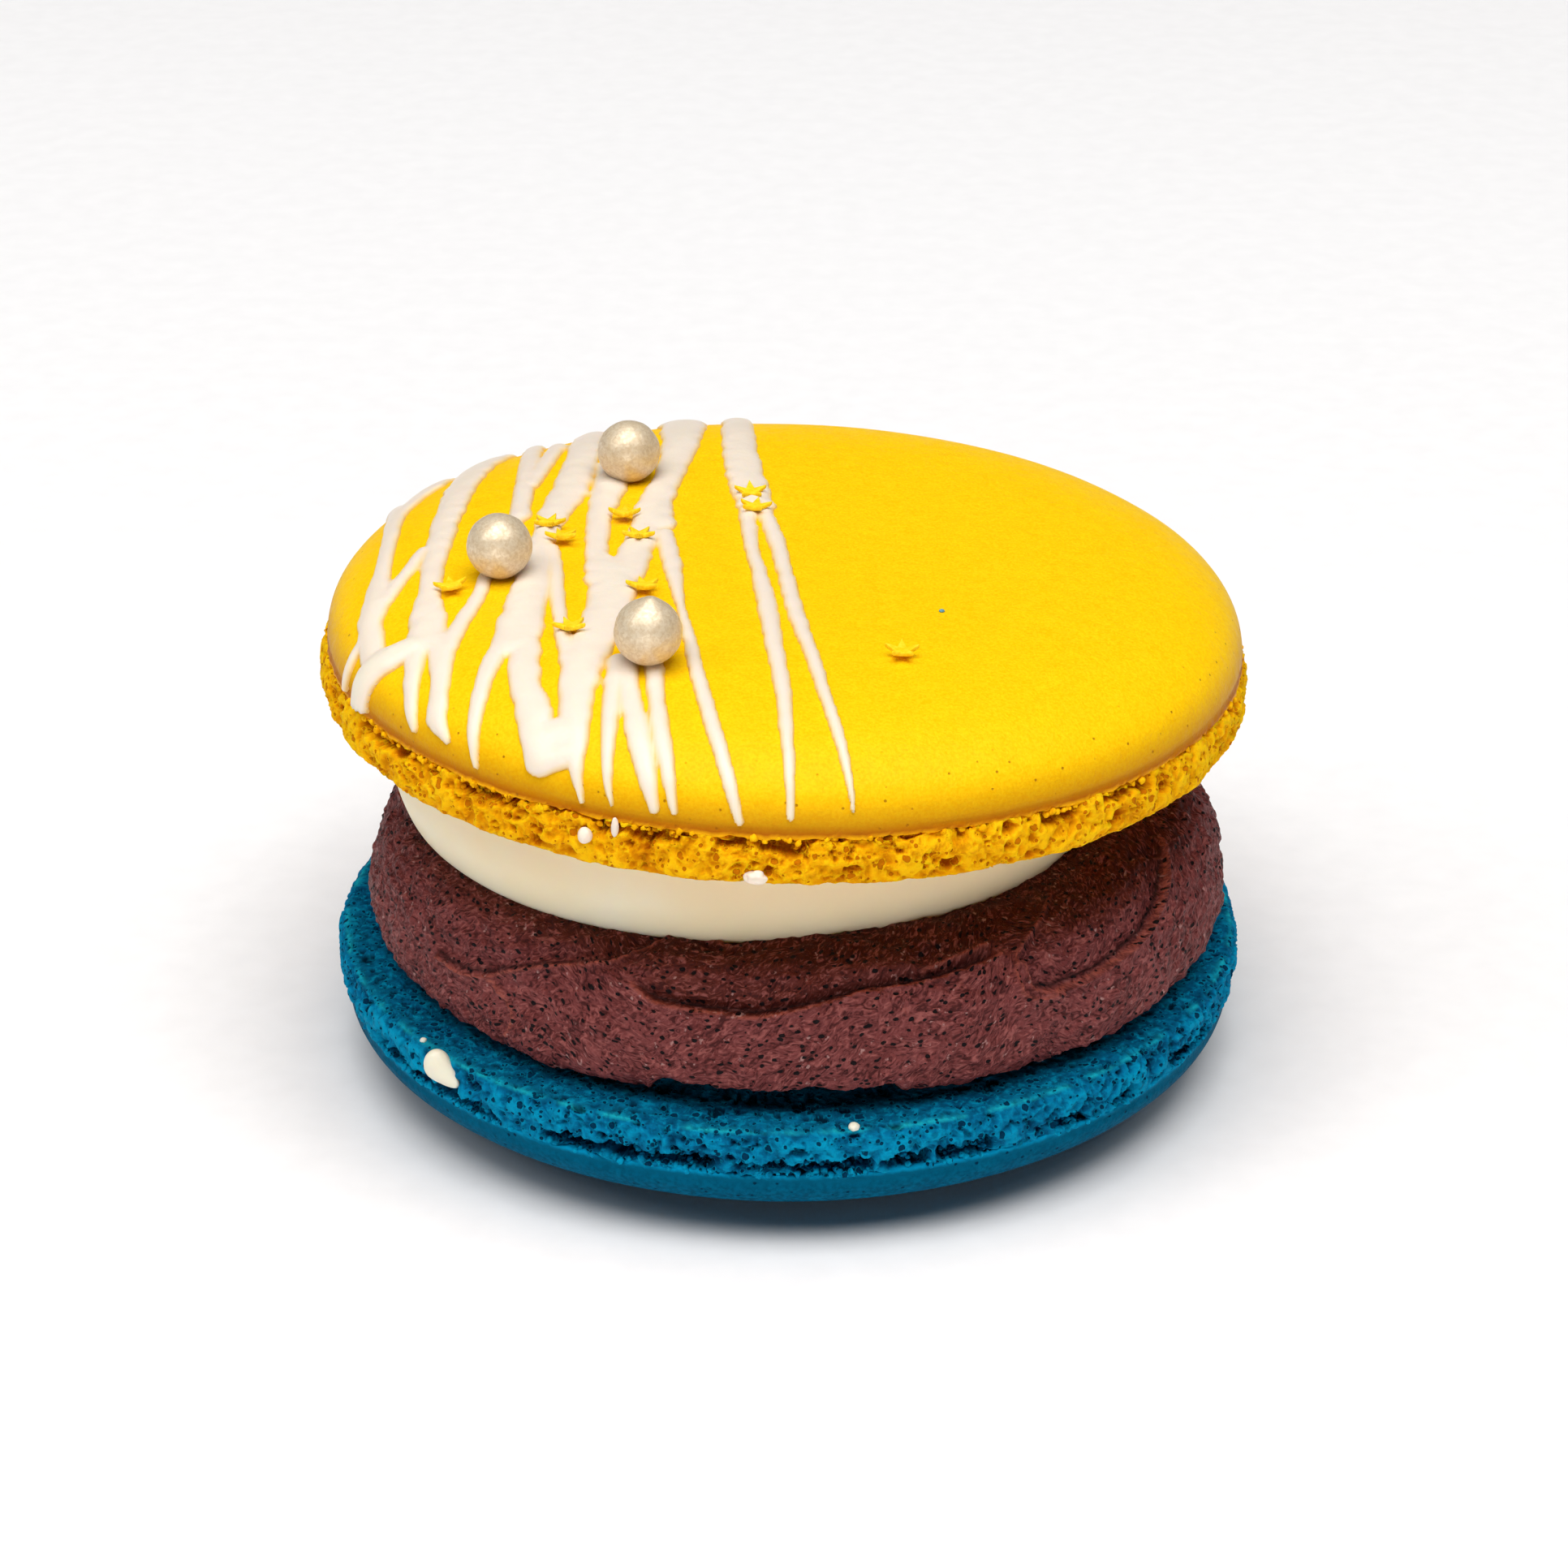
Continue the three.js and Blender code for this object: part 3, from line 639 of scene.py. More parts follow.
def opened(degrees, openings):
    """1 inside the torn openings and 0 outside, with soft ends."""
    inside = np.zeros(len(degrees))
    for start, end in openings:
        part = smoothstep(degrees, start - OPENING_SOFTNESS, start + OPENING_SOFTNESS)
        part *= 1 - smoothstep(degrees, end - OPENING_SOFTNESS, end + OPENING_SOFTNESS)
        inside = np.maximum(inside, part)
    return inside


CAP_STEPS = 896
# A cap's outer face has fine rows from its edge to this distance from its centre, then wide ones.
CAP_FINE_TO = 21
CAP_FINE_ROWS = 44
CAP_WIDE_ROWS = 16
CAP_UNDERSIDE = [(0, FOOT_HEIGHT + 0.25), (14, FOOT_HEIGHT + 0.25), (25, FOOT_HEIGHT + 0.2)]
CAP_LIP = [(26.3, 3.3), (27.1, 3.12), (27.5, 3.0), (27.68, 3.0), (27.75, 3.08)]
CAP_LIP_STEP = 0.12
# The torn lip of the skin and the crease over it lie outside these radii.
RIM_FROM = 26.2
CREASE_FROM = 27.0
CREASE_HEIGHT = 3.55
CREASE_DEPTH = 0.1
# The dome is pressed flat on its rest spot, by this much at most, and less and less over this
# width round it.
REST_PRESS = 0.09
REST_BLEND = 6


def torn_rim(rim, seed):
    """The edge of a cap's skin: a torn lace that hangs a little over the crumb, under a crease."""
    hang = 1 - smoothstep(rim[:, 2], 2.95, 3.75)
    flat = rim * (1, 1, 0)
    lace = 0.3 * np.abs(noise_at(flat, 0.9, seed)) + 0.24 * np.abs(noise_at(flat, 2.3, seed + 1))
    lace += 0.12 * noise_at(flat, 0.25, seed + 2)
    rim[:, 2] += hang * (0.08 - 1.1 * lace)
    frill = 0.12 * noise_at(rim, 1.6, seed + 3) + 0.05 * noise_at(rim, 3.5, seed + 4)
    rim = moved_out(rim, hang * frill)
    crease = bell(rim[:, 2] - CREASE_HEIGHT - 0.15 * noise_at(flat, 0.2, seed + 5), 0.12)
    outside = np.hypot(rim[:, 0], rim[:, 1]) > CREASE_FROM
    return moved_out(rim, -CREASE_DEPTH * crease * outside)


def make_cap(name, paint, place, table, seed, rest_radius=0.0):
    """The smooth skin of a shell, closed underneath by a face that the foot hides."""
    distance, radius, height = table
    fine = np.linspace(distance[-1], CAP_FINE_TO, CAP_FINE_ROWS)
    wide = np.linspace(CAP_FINE_TO - 1, 0, CAP_WIDE_ROWS)
    outer = [(np.interp(d, distance, radius), np.interp(d, distance, height)) for d in (*fine, *wide)]
    bm = spun([*CAP_UNDERSIDE, *smooth_line(CAP_LIP, CAP_LIP_STEP), *outer], CAP_STEPS)
    points = points_of(bm)
    radii = np.hypot(points[:, 0], points[:, 1])
    if rest_radius:
        flat = 1 - smoothstep(radii, rest_radius, rest_radius + REST_BLEND)
        on_dome = points[:, 2] > FOOT_HEIGHT + 1
        points[on_dome, 2] += (np.minimum(height[0] - points[:, 2], REST_PRESS) * flat)[on_dome]
    near_edge = radii > RIM_FROM
    points[near_edge] = torn_rim(points[near_edge], seed)
    points[:, 2] += 0.05 * noise_at(points, 0.12, seed + 6) * (radii > rest_radius + 3)
    set_points(bm, points)
    heights = points[:, 2]
    # Where shade is painted on the rim: down the skirt, most at its lower edge.
    skirt = (1 - smoothstep(heights, 3.3, 6.0)) * (0.6 + 0.4 * (1 - smoothstep(heights, 3.0, 3.9)))
    pinholes = smoothstep(radii, 23.5, 26.8) * (1 - smoothstep(heights, 5.6, 7.4)) + 0.08
    lace_tip = (1 - smoothstep(heights, 2.98, 3.22)) * (radii > 27.2)
    attributes = {"skirt": skirt, "pinholes": np.clip(pinholes, 0, 1), "lace": lace_tip}
    piece(name, bm, paint, None, place, attributes)


# Bubbles in the crumb: how many to the millimetre, size over spacing, depth, and how rare they are.
BUBBLES = [(0.62, 0.33, 0.7, 0.25), (1.3, 0.36, 0.45, 0.0), (2.4, 0.42, 0.16, -0.2)]
PROUDEST_CRUMB = 0.185


def crumb_relief(points, seed, lumpiness):
    """How far the crumb stands out at each point: uneven lumps that bubbles have broken open."""
    bent = points + 0.28 * np.column_stack([noise_at(points, 1.3, seed + axis) for axis in range(3)])
    folds = 0.5 - 2 * np.abs(noise_at(bent, 1.3, seed + 3))
    fine_folds = 0.5 - 2 * np.abs(noise_at(bent, 2.7, seed + 4))
    lumps = 0.28 * noise_at(points, 0.33, seed + 5) + 0.3 * noise_at(bent, 0.85, seed + 6)
    relief = (lumps + 0.26 * folds + 0.08 * fine_folds - 0.05) * lumpiness
    for number, (scale, size, depth, rarity) in enumerate(BUBBLES):
        near, draw = cells_at(bent * (1, 1, 1.25), scale, seed + 7 + number)
        width = size * (0.65 + 0.35 * np.abs(draw))
        relief -= depth * (draw > rarity) * np.sqrt(np.clip(1 - (near / width) ** 2, 0, 1))
    proud = PROUDEST_CRUMB * np.tanh(relief / PROUDEST_CRUMB)
    return np.where(relief > 0, proud, relief)


FOOT_STEPS = 1280
FOOT_SIDE = [(24.2, 0), (26.4, 0.0), (27.4, 0.04), (27.8, 0.2), (28.02, 0.6), (28.1, 1.3),
             (28.05, 2.0), (27.92, 2.6), (27.7, 2.95), (26.9, 3.07), (25.2, FOOT_HEIGHT)]
FOOT_SIDE_STEP = 0.125
CRUMB_FROM = 23.5
# The crumb never reaches further than this past the flat face.
FACE_LIMIT = -0.05
# Caves between the crumb and the skirt. Gaps is the noise under which a cave breaks off.
LOWER_CAVES = {"height": 2.35, "half": 0.4, "depth": 2.4, "gaps": -0.9}
UPPER_CAVES = {"height": 2.62, "half": 0.36, "depth": 1.2, "gaps": -0.05}


def caves_at(p, height, openings, caves, seed):
    """1 inside the caves that are torn open over the foot, and 0 outside."""
    flat = p * (1, 1, 0)
    ragged = bearing(p) + 1.3 * noise_at(p, 0.7, seed)
    middle = caves["height"] + 0.18 * noise_at(flat, 0.35, seed + 1)
    uneven = 0.9 * noise_at(flat, 0.5, seed + 2) + 0.9 * noise_at(flat, 1.7, seed + 3)
    uneven += 0.5 * noise_at(flat, 3.6, seed + 4)
    half = caves["half"] * (1 + uneven)
    gaps = caves["gaps"]
    torn = opened(ragged, openings) * smoothstep(noise_at(flat, 0.45, seed + 5), gaps - 0.1, gaps + 0.1)
    return torn * (1 - smoothstep(np.abs(height - middle), half - 0.08, half + 0.08))


def make_foot(name, paint, place, openings, seed, replaced, caves):
    """The crumbly foot: a disc with lumps, bubbles and caves under the skirt."""
    flat_face = [(0, 0), (12, 0), (21, 0), (23, 0)]
    side = smooth_line(FOOT_SIDE, FOOT_SIDE_STEP)
    bm = spun([*flat_face, *side, (20, FOOT_HEIGHT), (0, FOOT_HEIGHT)], FOOT_STEPS)
    points = points_of(bm)
    active = np.hypot(points[:, 0], points[:, 1]) > CRUMB_FROM
    p = points[active]
    flat = p * (1, 1, 0)
    height = p[:, 2]
    upright = smoothstep(height, 0.03, 0.7)
    relief = crumb_relief(p, seed, 0.22 + 0.78 * upright) - 0.04 * (1 - upright)
    inside = caves_at(p, height, openings, caves, seed + 10)
    out = moved_out(p + normals_of(bm)[active] * relief[:, None], -caves["depth"] * inside)
    out[:, 2] = np.maximum(out[:, 2], FACE_LIMIT)
    points[active] = out
    set_points(bm, points)
    # A pale seam, partly a painted highlight on the edge, broken here and there, where the crumb meets the
    # flat face.
    broken = smoothstep(noise_at(flat, 0.5, seed + 16), -0.4, 0.1)
    strength = 0.4 + 0.35 * (noise_at(flat, 2.5, seed + 17) > -0.1)
    seam_and_highlight = over(len(points), active, bell(height - 0.12, 0.07) * broken * strength)
    # Painted shade: darker in the caves and where the crumb sinks, lighter where it stands out, and a little
    # darker on the flat face.
    hollow = np.full(len(points), 0.3)
    hollow[active] = np.clip(0.28 + 0.22 * (1 - upright) - 1.1 * relief + 0.8 * inside, 0, 1)
    piece(name, bm, paint, replaced, place, {"hollow": hollow, "seam_and_highlight": seam_and_highlight})


LOWER_BEADS = 800
UPPER_BEADS = 500
SHARE_IN_CAVES = 0.4
BEAD_SIZES = (0.1, 0.24)
# Between which radii and heights the beads of crumb are, and how much painted shade they take in the crumb's
# colours, more in the caves.
CAVE_BEADS = ((26.4, 27.6), (2.0, 2.9), (0.25, 0.6))
SKIRT_BEADS = ((27.45, 27.8), (2.72, 3.02), (0.0, 0.35))


def make_crumbs(name, paint, place, openings, seed, count):
    """Beads of crumb along the skirt and in the caves."""
    draw = random.Random(seed)
    bead = bmesh.new()
    bmesh.ops.create_icosphere(bead, subdivisions=2, radius=1)
    mesh = bpy.data.meshes.new("bead")
    bead.to_mesh(mesh)
    corners = len(bead.verts)
    bead.free()
    bm = bmesh.new()
    for _ in range(count):
        bm.from_mesh(mesh)
    bpy.data.meshes.remove(mesh)
    hollow = []
    for number, vertex in enumerate(bm.verts):
        if number % corners == 0:
            in_cave = draw.random() < SHARE_IN_CAVES
            start, end = draw.choice(openings) if in_cave else (-180, 180)
            radii, heights, shades = CAVE_BEADS if in_cave else SKIRT_BEADS
            size = draw.uniform(*BEAD_SIZES)
            radius = draw.uniform(*radii)
            height = draw.uniform(*heights)
            spot = Vector(round_the_rim(draw.uniform(start, end), radius, height))
            shade = draw.uniform(*shades)
        vertex.co *= size * (1 + 0.5 * noise.noise(vertex.co * 1.2 + spot))
        vertex.co += spot
        hollow.append(shade)
    piece(name, bm, paint, None, place, {"hollow": np.array(hollow)})


# ---- Drizzle, confetti, drips and pearls ----

# Lines of white chocolate, as (across, back, width) over the flattened cap, and how thickly each
# is piled.
DRIZZLE = [
    (1, [(-22.3, 16.5, 1.8), (-22.9, 13, 2), (-23.6, 10.5, 1.4), (-24.4, 7, 1.3), (-24.4, 3, 1.15),
         (-24.4, -2, 1.15), (-24.5, -6, 1.9), (-24.7, -8.5, 1.8), (-24.5, -11.5, 1.8)]),
    (1, [(-28.3, 12.8, 1), (-26.3, 13, 1.3), (-24.9, 10.5, 1.5), (-24.5, 7.5, 1.2)]),
    (1, [(-25, -9.8, 0.9), (-26.5, -10.7, 0.9), (-28, -11.2, 0.6)]),
    (1, [(-22, -0.3, 0.9), (-22.9, -3.5, 1), (-23.9, -6.3, 1.2)]),
    (1, [(-18.8, 19.5, 2.4), (-19.8, 15, 2.2), (-20.5, 10, 2), (-20.8, 6, 1.8), (-21.1, 0, 1.6),
         (-21.2, -6, 1.4), (-21, -10, 2.3), (-21.1, -12.5, 2.3)]),
    (1, [(-21.5, -12.5, 1.5), (-21.7, -15, 1.2), (-22, -17.5, 1), (-22.1, -18.6, 0.6)]),
    (1, [(-20.3, -12.5, 1.7), (-19.9, -14.5, 1.5), (-20, -17.5, 1.3), (-20.3, -19, 1.4),
         (-19.9, -20.6, 0.5)]),
    (2, [(-21.8, -12.6, 1.9), (-24, -12.8, 2.1), (-25.5, -13.2, 2.2), (-26.7, -13.8, 2)]),
    (1, [(-16.5, 4, 1.2), (-17.4, 0, 1.1), (-17.9, -5, 0.9), (-18.2, -8, 1), (-18.9, -10.5, 1.1),
         (-19.6, -13.5, 1.2)]),
    (1, [(-16.4, 20, 1.3), (-16.4, 12, 1.3), (-16.4, 4, 1.3)]),
    (1, [(-14.8, 18, 1.2), (-15.3, 14, 1.1), (-16, 9.5, 1)]),
    (1, [(-12.6, 25.5, 2), (-13, 15, 2.1), (-13.5, 9, 2.3), (-14.2, 5, 2.1), (-14.8, 0.5, 1.5), (-15, -3, 2),
         (-15.2, -7, 2.3), (-15.5, -12, 2.8), (-15.7, -14, 2.7)]),
    (1, [(-16.3, -13.5, 1.4), (-17, -16, 1.25), (-17.5, -18.5, 1.05), (-18.1, -21.5, 0.85),
         (-18.4, -22.9, 0.4)]),
    (1, [(-15.1, -14, 1.8), (-14.9, -18, 1.8), (-14.3, -21, 2), (-14, -24, 2.1)]),
    (1, [(-13.8, -22.7, 2.2), (-12.3, -22.7, 2.2)]),
    (1, [(-13.8, -24.1, 1.9), (-12.3, -24.1, 1.7)]),
    (1, [(-14.2, -1, 1), (-13.8, -4, 0.9), (-13.3, -10, 0.9), (-12.8, -14, 1), (-12.3, -16.5, 1.2)]),
    (1, [(-11, 13, 2), (-11.1, 9, 2.1), (-11.5, 4, 1.6), (-11.4, -2, 1.5), (-10.6, -4.5, 2.8),
         (-10.3, -8, 2.8), (-10.8, -12, 2.4), (-11.6, -16, 2.5), (-11.9, -20, 1.9), (-11.9, -23, 1.6),
         (-11.95, -25.5, 0.8), (-12, -27, 0.35)]),
    (1, [(-7.2, 26.9, 2.9), (-6.9, 24, 3), (-6.8, 18, 2.5), (-7.3, 12, 1.9), (-8.1, 7, 2.1),
         (-8.2, 3, 2.6)]),
    (1, [(-8.7, 2, 2), (-9.1, -1, 2), (-9.6, -5, 2.2)]),
    (1, [(-7.4, 1.5, 1.1), (-6.9, -3, 1.2), (-6.4, -8, 0.75), (-6.15, -10, 0.6), (-5.6, -14, 0.8),
         (-5.1, -18, 0.9), (-4.4, -22, 0.95), (-3.5, -26, 0.9), (-2.7, -29.3, 0.55)]),
    (1, [(-9.5, -16.5, 1.5), (-9.8, -19.5, 1.1), (-9.95, -23, 0.95), (-10.15, -26, 0.65),
         (-10.2, -27.6, 0.3)]),
    (1, [(-9.2, -16.5, 1.3), (-8.9, -20, 1.2), (-8.4, -23, 1.4), (-7.9, -26, 1.2), (-7.65, -28.2, 0.7)]),
    (1, [(-7.6, -16.5, 1.1), (-7.4, -20, 1), (-7, -24, 1.05), (-6.7, -26, 0.9), (-6.5, -28.5, 0.5)]),
    (1, [(-3.4, 28, 1.9), (-3.2, 20, 2.05), (-2.8, 13, 2.3), (-2, 6.5, 2.4)]),
    (1, [(-2.5, 5.5, 1.1), (-2.2, 0, 0.95), (-1.7, -4, 0.95), (-1.2, -9, 1.2), (-0.8, -14, 1.1),
         (-0.35, -19, 0.95), (0.05, -25, 0.75), (0.25, -29.1, 0.5)]),
    (1, [(-1.4, 5.5, 1), (-0.7, 1, 1.1), (-0.15, -4, 1), (0.5, -10, 1.05), (1.3, -15, 0.9),
         (2.1, -20.2, 0.8), (3.2, -25.5, 0.65), (3.85, -28.6, 0.3)]),
]
# Lines are followed in steps of this length.
DRIZZLE_STEP = 0.6
# How far lines run together where they meet, and a factor on all their widths.
DRIZZLE_BLEND = 0.05
DRIZZLE_SPREAD = 1.06
# The part of the flattened cap that the sheet of chocolate is cut from.
SHEET_LEFT = -29.2
SHEET_WIDTH = 34
SHEET_LENGTH = 61
SHEET_SPACING = 0.19
SHEET_LIMIT = 30.15
# The sheet runs on into the cap past the edge of each line, and its underside lies in the cap.
SHEET_HEM = -0.55
SHEET_LOWEST = -0.3
SHEET_HIGHEST = 1.2
SHEET_UNDERSIDE = -0.45


def drizzle_thickness(across, back):
    """How thick the chocolate lies at each place of the flattened cap; under 0 there is none."""
    total = np.zeros(len(across))
    wobble = 1 + 0.16 * noise_at(np.column_stack([across, back, np.zeros(len(across))]), 0.9, 4)
    for pile, route in DRIZZLE:
        line = smooth_line(route, DRIZZLE_STEP)
        near_line = np.abs(across - line[:, 0].mean()) < np.ptp(line[:, 0]) / 2 + 4
        x, y = across[near_line], back[near_line]
        best = np.full(len(x), -9.0)
        for (ax, ay, aw), (bx, by, bw) in zip(line, line[1:]):
            length = (bx - ax) ** 2 + (by - ay) ** 2
            t = np.clip(((x - ax) * (bx - ax) + (y - ay) * (by - ay)) / length, 0, 1)
            half_width = (aw + (bw - aw) * t) * wobble[near_line] / 2 * DRIZZLE_SPREAD
            away = np.hypot(x - ax - t * (bx - ax), y - ay - t * (by - ay))
            crest = pile * (0.1 + 0.3 * half_width)
            best = np.maximum(best, crest * (1 - (away / half_width) ** 2))
        total[near_line] += np.exp(np.maximum(best, -0.8) / DRIZZLE_BLEND)
    level = DRIZZLE_BLEND * np.log(total + 1e-9)
    return np.where(level > 0, np.sqrt(np.maximum(level, 0) * 0.38), level * 2.5)


def make_drizzle(paint):
    """All lines of drizzle as one sheet, cut out along their edges and closed underneath."""
    bm = bmesh.new()
    columns = round(SHEET_WIDTH / SHEET_SPACING)
    rows = round(SHEET_LENGTH / SHEET_SPACING)
    bmesh.ops.create_grid(bm, x_segments=columns, y_segments=rows, size=1)
    plan = points_of(bm)
    across = SHEET_LEFT + (plan[:, 0] + 1) * SHEET_WIDTH / 2
    back = plan[:, 1] * SHEET_LENGTH / 2
    thickness = drizzle_thickness(across, back)
    set_points(bm, on_cap(across, back, np.clip(thickness, SHEET_LOWEST, SHEET_HIGHEST)))
    inner = on_cap(across, back, np.full(len(across), SHEET_UNDERSIDE))
    keep = (thickness > SHEET_HEM) & (np.hypot(across, back) < SHEET_LIMIT)
    spare = [vertex for vertex, kept in zip(bm.verts, keep) if not kept]
    bmesh.ops.delete(bm, geom=spare, context="VERTS")
    linked = np.array([bool(vertex.link_faces) for vertex in bm.verts])
    bmesh.ops.delete(bm, geom=[v for v in bm.verts if not v.link_faces], context="VERTS")
    values = thickness[keep][linked]
    inner = inner[keep][linked]
    # The underside is the same sheet again, inside the cap.
    order = {tuple(vertex.co): index for index, vertex in enumerate(bm.verts)}
    lowered = set(vertices_in(bmesh.ops.extrude_face_region(bm, geom=bm.faces[:], use_keep_orig=True)))
    places = [order[tuple(vertex.co)] for vertex in bm.verts]
    for vertex, index in zip(bm.verts, places):
        if vertex in lowered:
            vertex.co = inner[index]
    piece("drizzle", bm, paint, None, UPPER_PLACE, {"thickness": values[places]})


# Where each star lies on the flattened cap, with its turn and its slant in degrees. The stars are
# curled up at their points, and most lean back.
STARS = [(-19.8, -6.8, 10, -8), (-14.5, 2.1, 50, -6), (-13.6, -0.2, 20, -11), (-10, 3.5, 70, -12),
         (-9, 0.3, 35, -8), (-2.3, 7.7, 5, 4), (-2, 5.3, 60, -4), (-12.5, -13, 25, -10),
         (-8.5, -7.4, 15, -8), (6.5, -15.4, 0, -3)]
STAR_POINTS = 5
STAR_RADIUS = 1.08
STAR_WAIST = 0.42
STAR_THICKNESS = 0.3
STAR_BEVEL = 0.07
STAR_CURL = 0.32
# A star lies this high over the cap's skin, and higher where it leans.
STAR_REST = 0.18
STAR_REST_PER_LEAN = 0.55


def make_stars(paint):
    bm = bmesh.new()
    for across, back, turn, slant in STARS:
        corners = []
        for i in range(2 * STAR_POINTS):
            reach = STAR_RADIUS * (STAR_WAIST if i % 2 else 1)
            angle = i * math.pi / STAR_POINTS
            corners.append(bm.verts.new((reach * math.sin(angle), reach * math.cos(angle), 0)))
        face = bm.faces.new(corners)
        tip = vertices_in(bmesh.ops.extrude_face_region(bm, geom=[face]))
        bmesh.ops.translate(bm, verts=tip, vec=(0, 0, STAR_THICKNESS))
        edges = list({edge for vertex in corners + tip for edge in vertex.link_edges})
        made = bmesh.ops.bevel(bm, geom=edges, offset=STAR_BEVEL, offset_type="OFFSET", segments=2,
                               profile=0.5, material=-1, affect="EDGES")
        body = list({vertex for face in made["faces"] for vertex in face.verts})
        for vertex in body:
            vertex.co.z += STAR_CURL * vertex.co.xy.length_squared / STAR_RADIUS**2
        lean = math.radians(slant)
        low, high = on_cap(np.array([across] * 2), np.array([back] * 2), np.array([0.0, 1.0]))
        outwards = Vector(high - low).normalized()
        rise = math.sin(abs(lean)) * STAR_RADIUS * STAR_REST_PER_LEAN + STAR_REST
        spot = Vector(low) + outwards * rise
        face_out = Vector((0, 0, 1)).rotation_difference(outwards).to_matrix().to_4x4()
        place = Matrix.Translation(spot) @ face_out @ Matrix.Rotation(lean, 4, "X")
        place = place @ Matrix.Rotation(math.radians(turn), 4, "Z")
        bmesh.ops.transform(bm, matrix=place, verts=body)
    piece("star_confetti", bm, paint, None, UPPER_PLACE)


def blob(bm, spot, size, seed, uneven=0.12):
    made = bmesh.ops.create_icosphere(bm, subdivisions=4, radius=1)["verts"]
    for vertex in made:
        vertex.co *= 1 + uneven * noise.noise(vertex.co * 1.3 + Vector((seed, 0, 0)))
        vertex.co = Vector(a * b for a, b in zip(vertex.co, size))
    bmesh.ops.translate(bm, verts=made, vec=spot)


def drop_with_tail(bm, spot, size, tail):
    """One smooth drop that runs out into a short tail."""
    made = bmesh.ops.create_icosphere(bm, subdivisions=4, radius=1)["verts"]
    heading = Vector(tail).normalized()
    for vertex in made:
        along = max(vertex.co.dot(heading), 0.0)
        vertex.co = Vector(a * b for a, b in zip(vertex.co, size)) + Vector(tail) * along**3
    bmesh.ops.translate(bm, verts=made, vec=spot)


# Drips of white chocolate: where they are, as (degrees round, radius, height), their half widths,
# a seed for the shape and how uneven it is. The lower ones are in the macaron's coordinates and
# the upper ones in the shell's.
TAILED_DRIP = (-47.3, 28.15, 7.5)
TAILED_DRIP_SIZE = (0.8, 0.65, 1.0)
DRIP_TAIL = (0.75, -0.7, -0.45)
LOWER_DRIPS = [((7.8, 27.4, 8.05), (0.33, 0.33, 0.25), 4, 0.12),
               ((-51.6, 27.6, 8.05), (0.2, 0.2, 0.15), 5, 0.12)]
UPPER_DRIPS = [((-23.2, 28.15, 2.0), (0.42, 0.42, 0.48), 6, 0.12),
               ((-3.2, 28.2, 0.8), (0.62, 0.45, 0.38), 7, 0.3),
               ((-19.7, 27.95, 2.75), (0.22, 0.2, 0.6), 8, 0.12)]
# How thick the drips look: thick ones are white and thin ones a little yellowish.
LOWER_DRIP_THICKNESS = 0.8
UPPER_DRIP_THICKNESS = 0.3


def make_drips(name, paint, drips, thickness, place, tailed):
    bm = bmesh.new()
    if tailed:
        drop_with_tail(bm, round_the_rim(*TAILED_DRIP), TAILED_DRIP_SIZE, DRIP_TAIL)
    for spot, size, seed, uneven in drips:
        blob(bm, round_the_rim(*spot), size, seed, uneven)
    values = np.full(len(bm.verts), thickness)
    piece(name, bm, paint, None, place, {"thickness": values})


SPECK_ACROSS = 9.0
SPECK_BACK = -9.0
SPECK_LIFT = 0.05
SPECK_SIZE = (0.17, 0.17, 0.09)


def make_speck(paint):
    """The tiny blue speck of sugar on the yellow cap."""
    bm = bmesh.new()
    spot = on_cap(np.array([SPECK_ACROSS]), np.array([SPECK_BACK]), np.array([SPECK_LIFT]))[0]
    blob(bm, spot, SPECK_SIZE, 9)
    piece("blue_speck", bm, paint, None, UPPER_PLACE)


PEARLS = {"pearl_back": (-9.96, 10.68, 34.45), "pearl_left": (-17.08, -4.92, 34.6),
          "pearl_front": (-7.95, -16.89, 34.4)}
PEARL_RADIUS = 2.0
# The sugar stays this far inside the pearl's full radius, apart from what stands out.
PEARL_SHRINK = 0.055
PEARL_DIMPLE = Vector((0.55, -0.5, 0.3)).normalized()
PEARL_DIMPLE_DEPTH = 0.07
PEARL_CROWN = Vector((0.1, 0, 1)).normalized()
PEARL_CROWN_HEIGHT = 0.2


def make_pearls(paint):
    """Each pearl has a dimple, and the front one a small peak at its top."""
    for number, (name, spot) in enumerate(PEARLS.items()):
        bm = bmesh.new()
        made = bmesh.ops.create_icosphere(bm, subdivisions=6, radius=PEARL_RADIUS)["verts"]
        for vertex in made:
            out = vertex.co.normalized()
            change = -PEARL_DIMPLE_DEPTH * bell(out.angle(PEARL_DIMPLE), 0.5)
            change += 0.03 * noise.noise(out * 2.2 + Vector((number * 5.0, 0, 0)))
            change += 0.008 * noise.noise(out * 9)
            if name == "pearl_front":
                change += PEARL_CROWN_HEIGHT * bell(out.angle(PEARL_CROWN), 0.28)
            vertex.co += out * (change - PEARL_SHRINK)
        bmesh.ops.translate(bm, verts=made, vec=spot)
        piece(name + "_sugar", bm, paint, name)


# ---- Fillings ----

PLUM_BOTTOM_FACE = [(0, 0.05), (22.5, 0.03)]
PLUM_SIDE = [(23.4, 0.05), (24.6, 0.3), (25.6, 0.75), (26.25, 1.5), (26.5, 2.6), (26.45, 3.8),
             (26.25, 5), (25.9, 6.1), (25.2, 7.1), (24.2, 7.95), (23, 8.55), (21.6, 8.95)]
PLUM_SIDE_STEP = 0.168
PLUM_TOP = [(21.4, 8.98), (18, 9.0)]
PLUM_HEIGHT = 8.95
# Millimetres to the degree round the side.
PLUM_GIRTH = math.radians(26)
# Distance down the side is measured from this radius on the flat top.
TOP_EDGE_RADIUS = 20.7
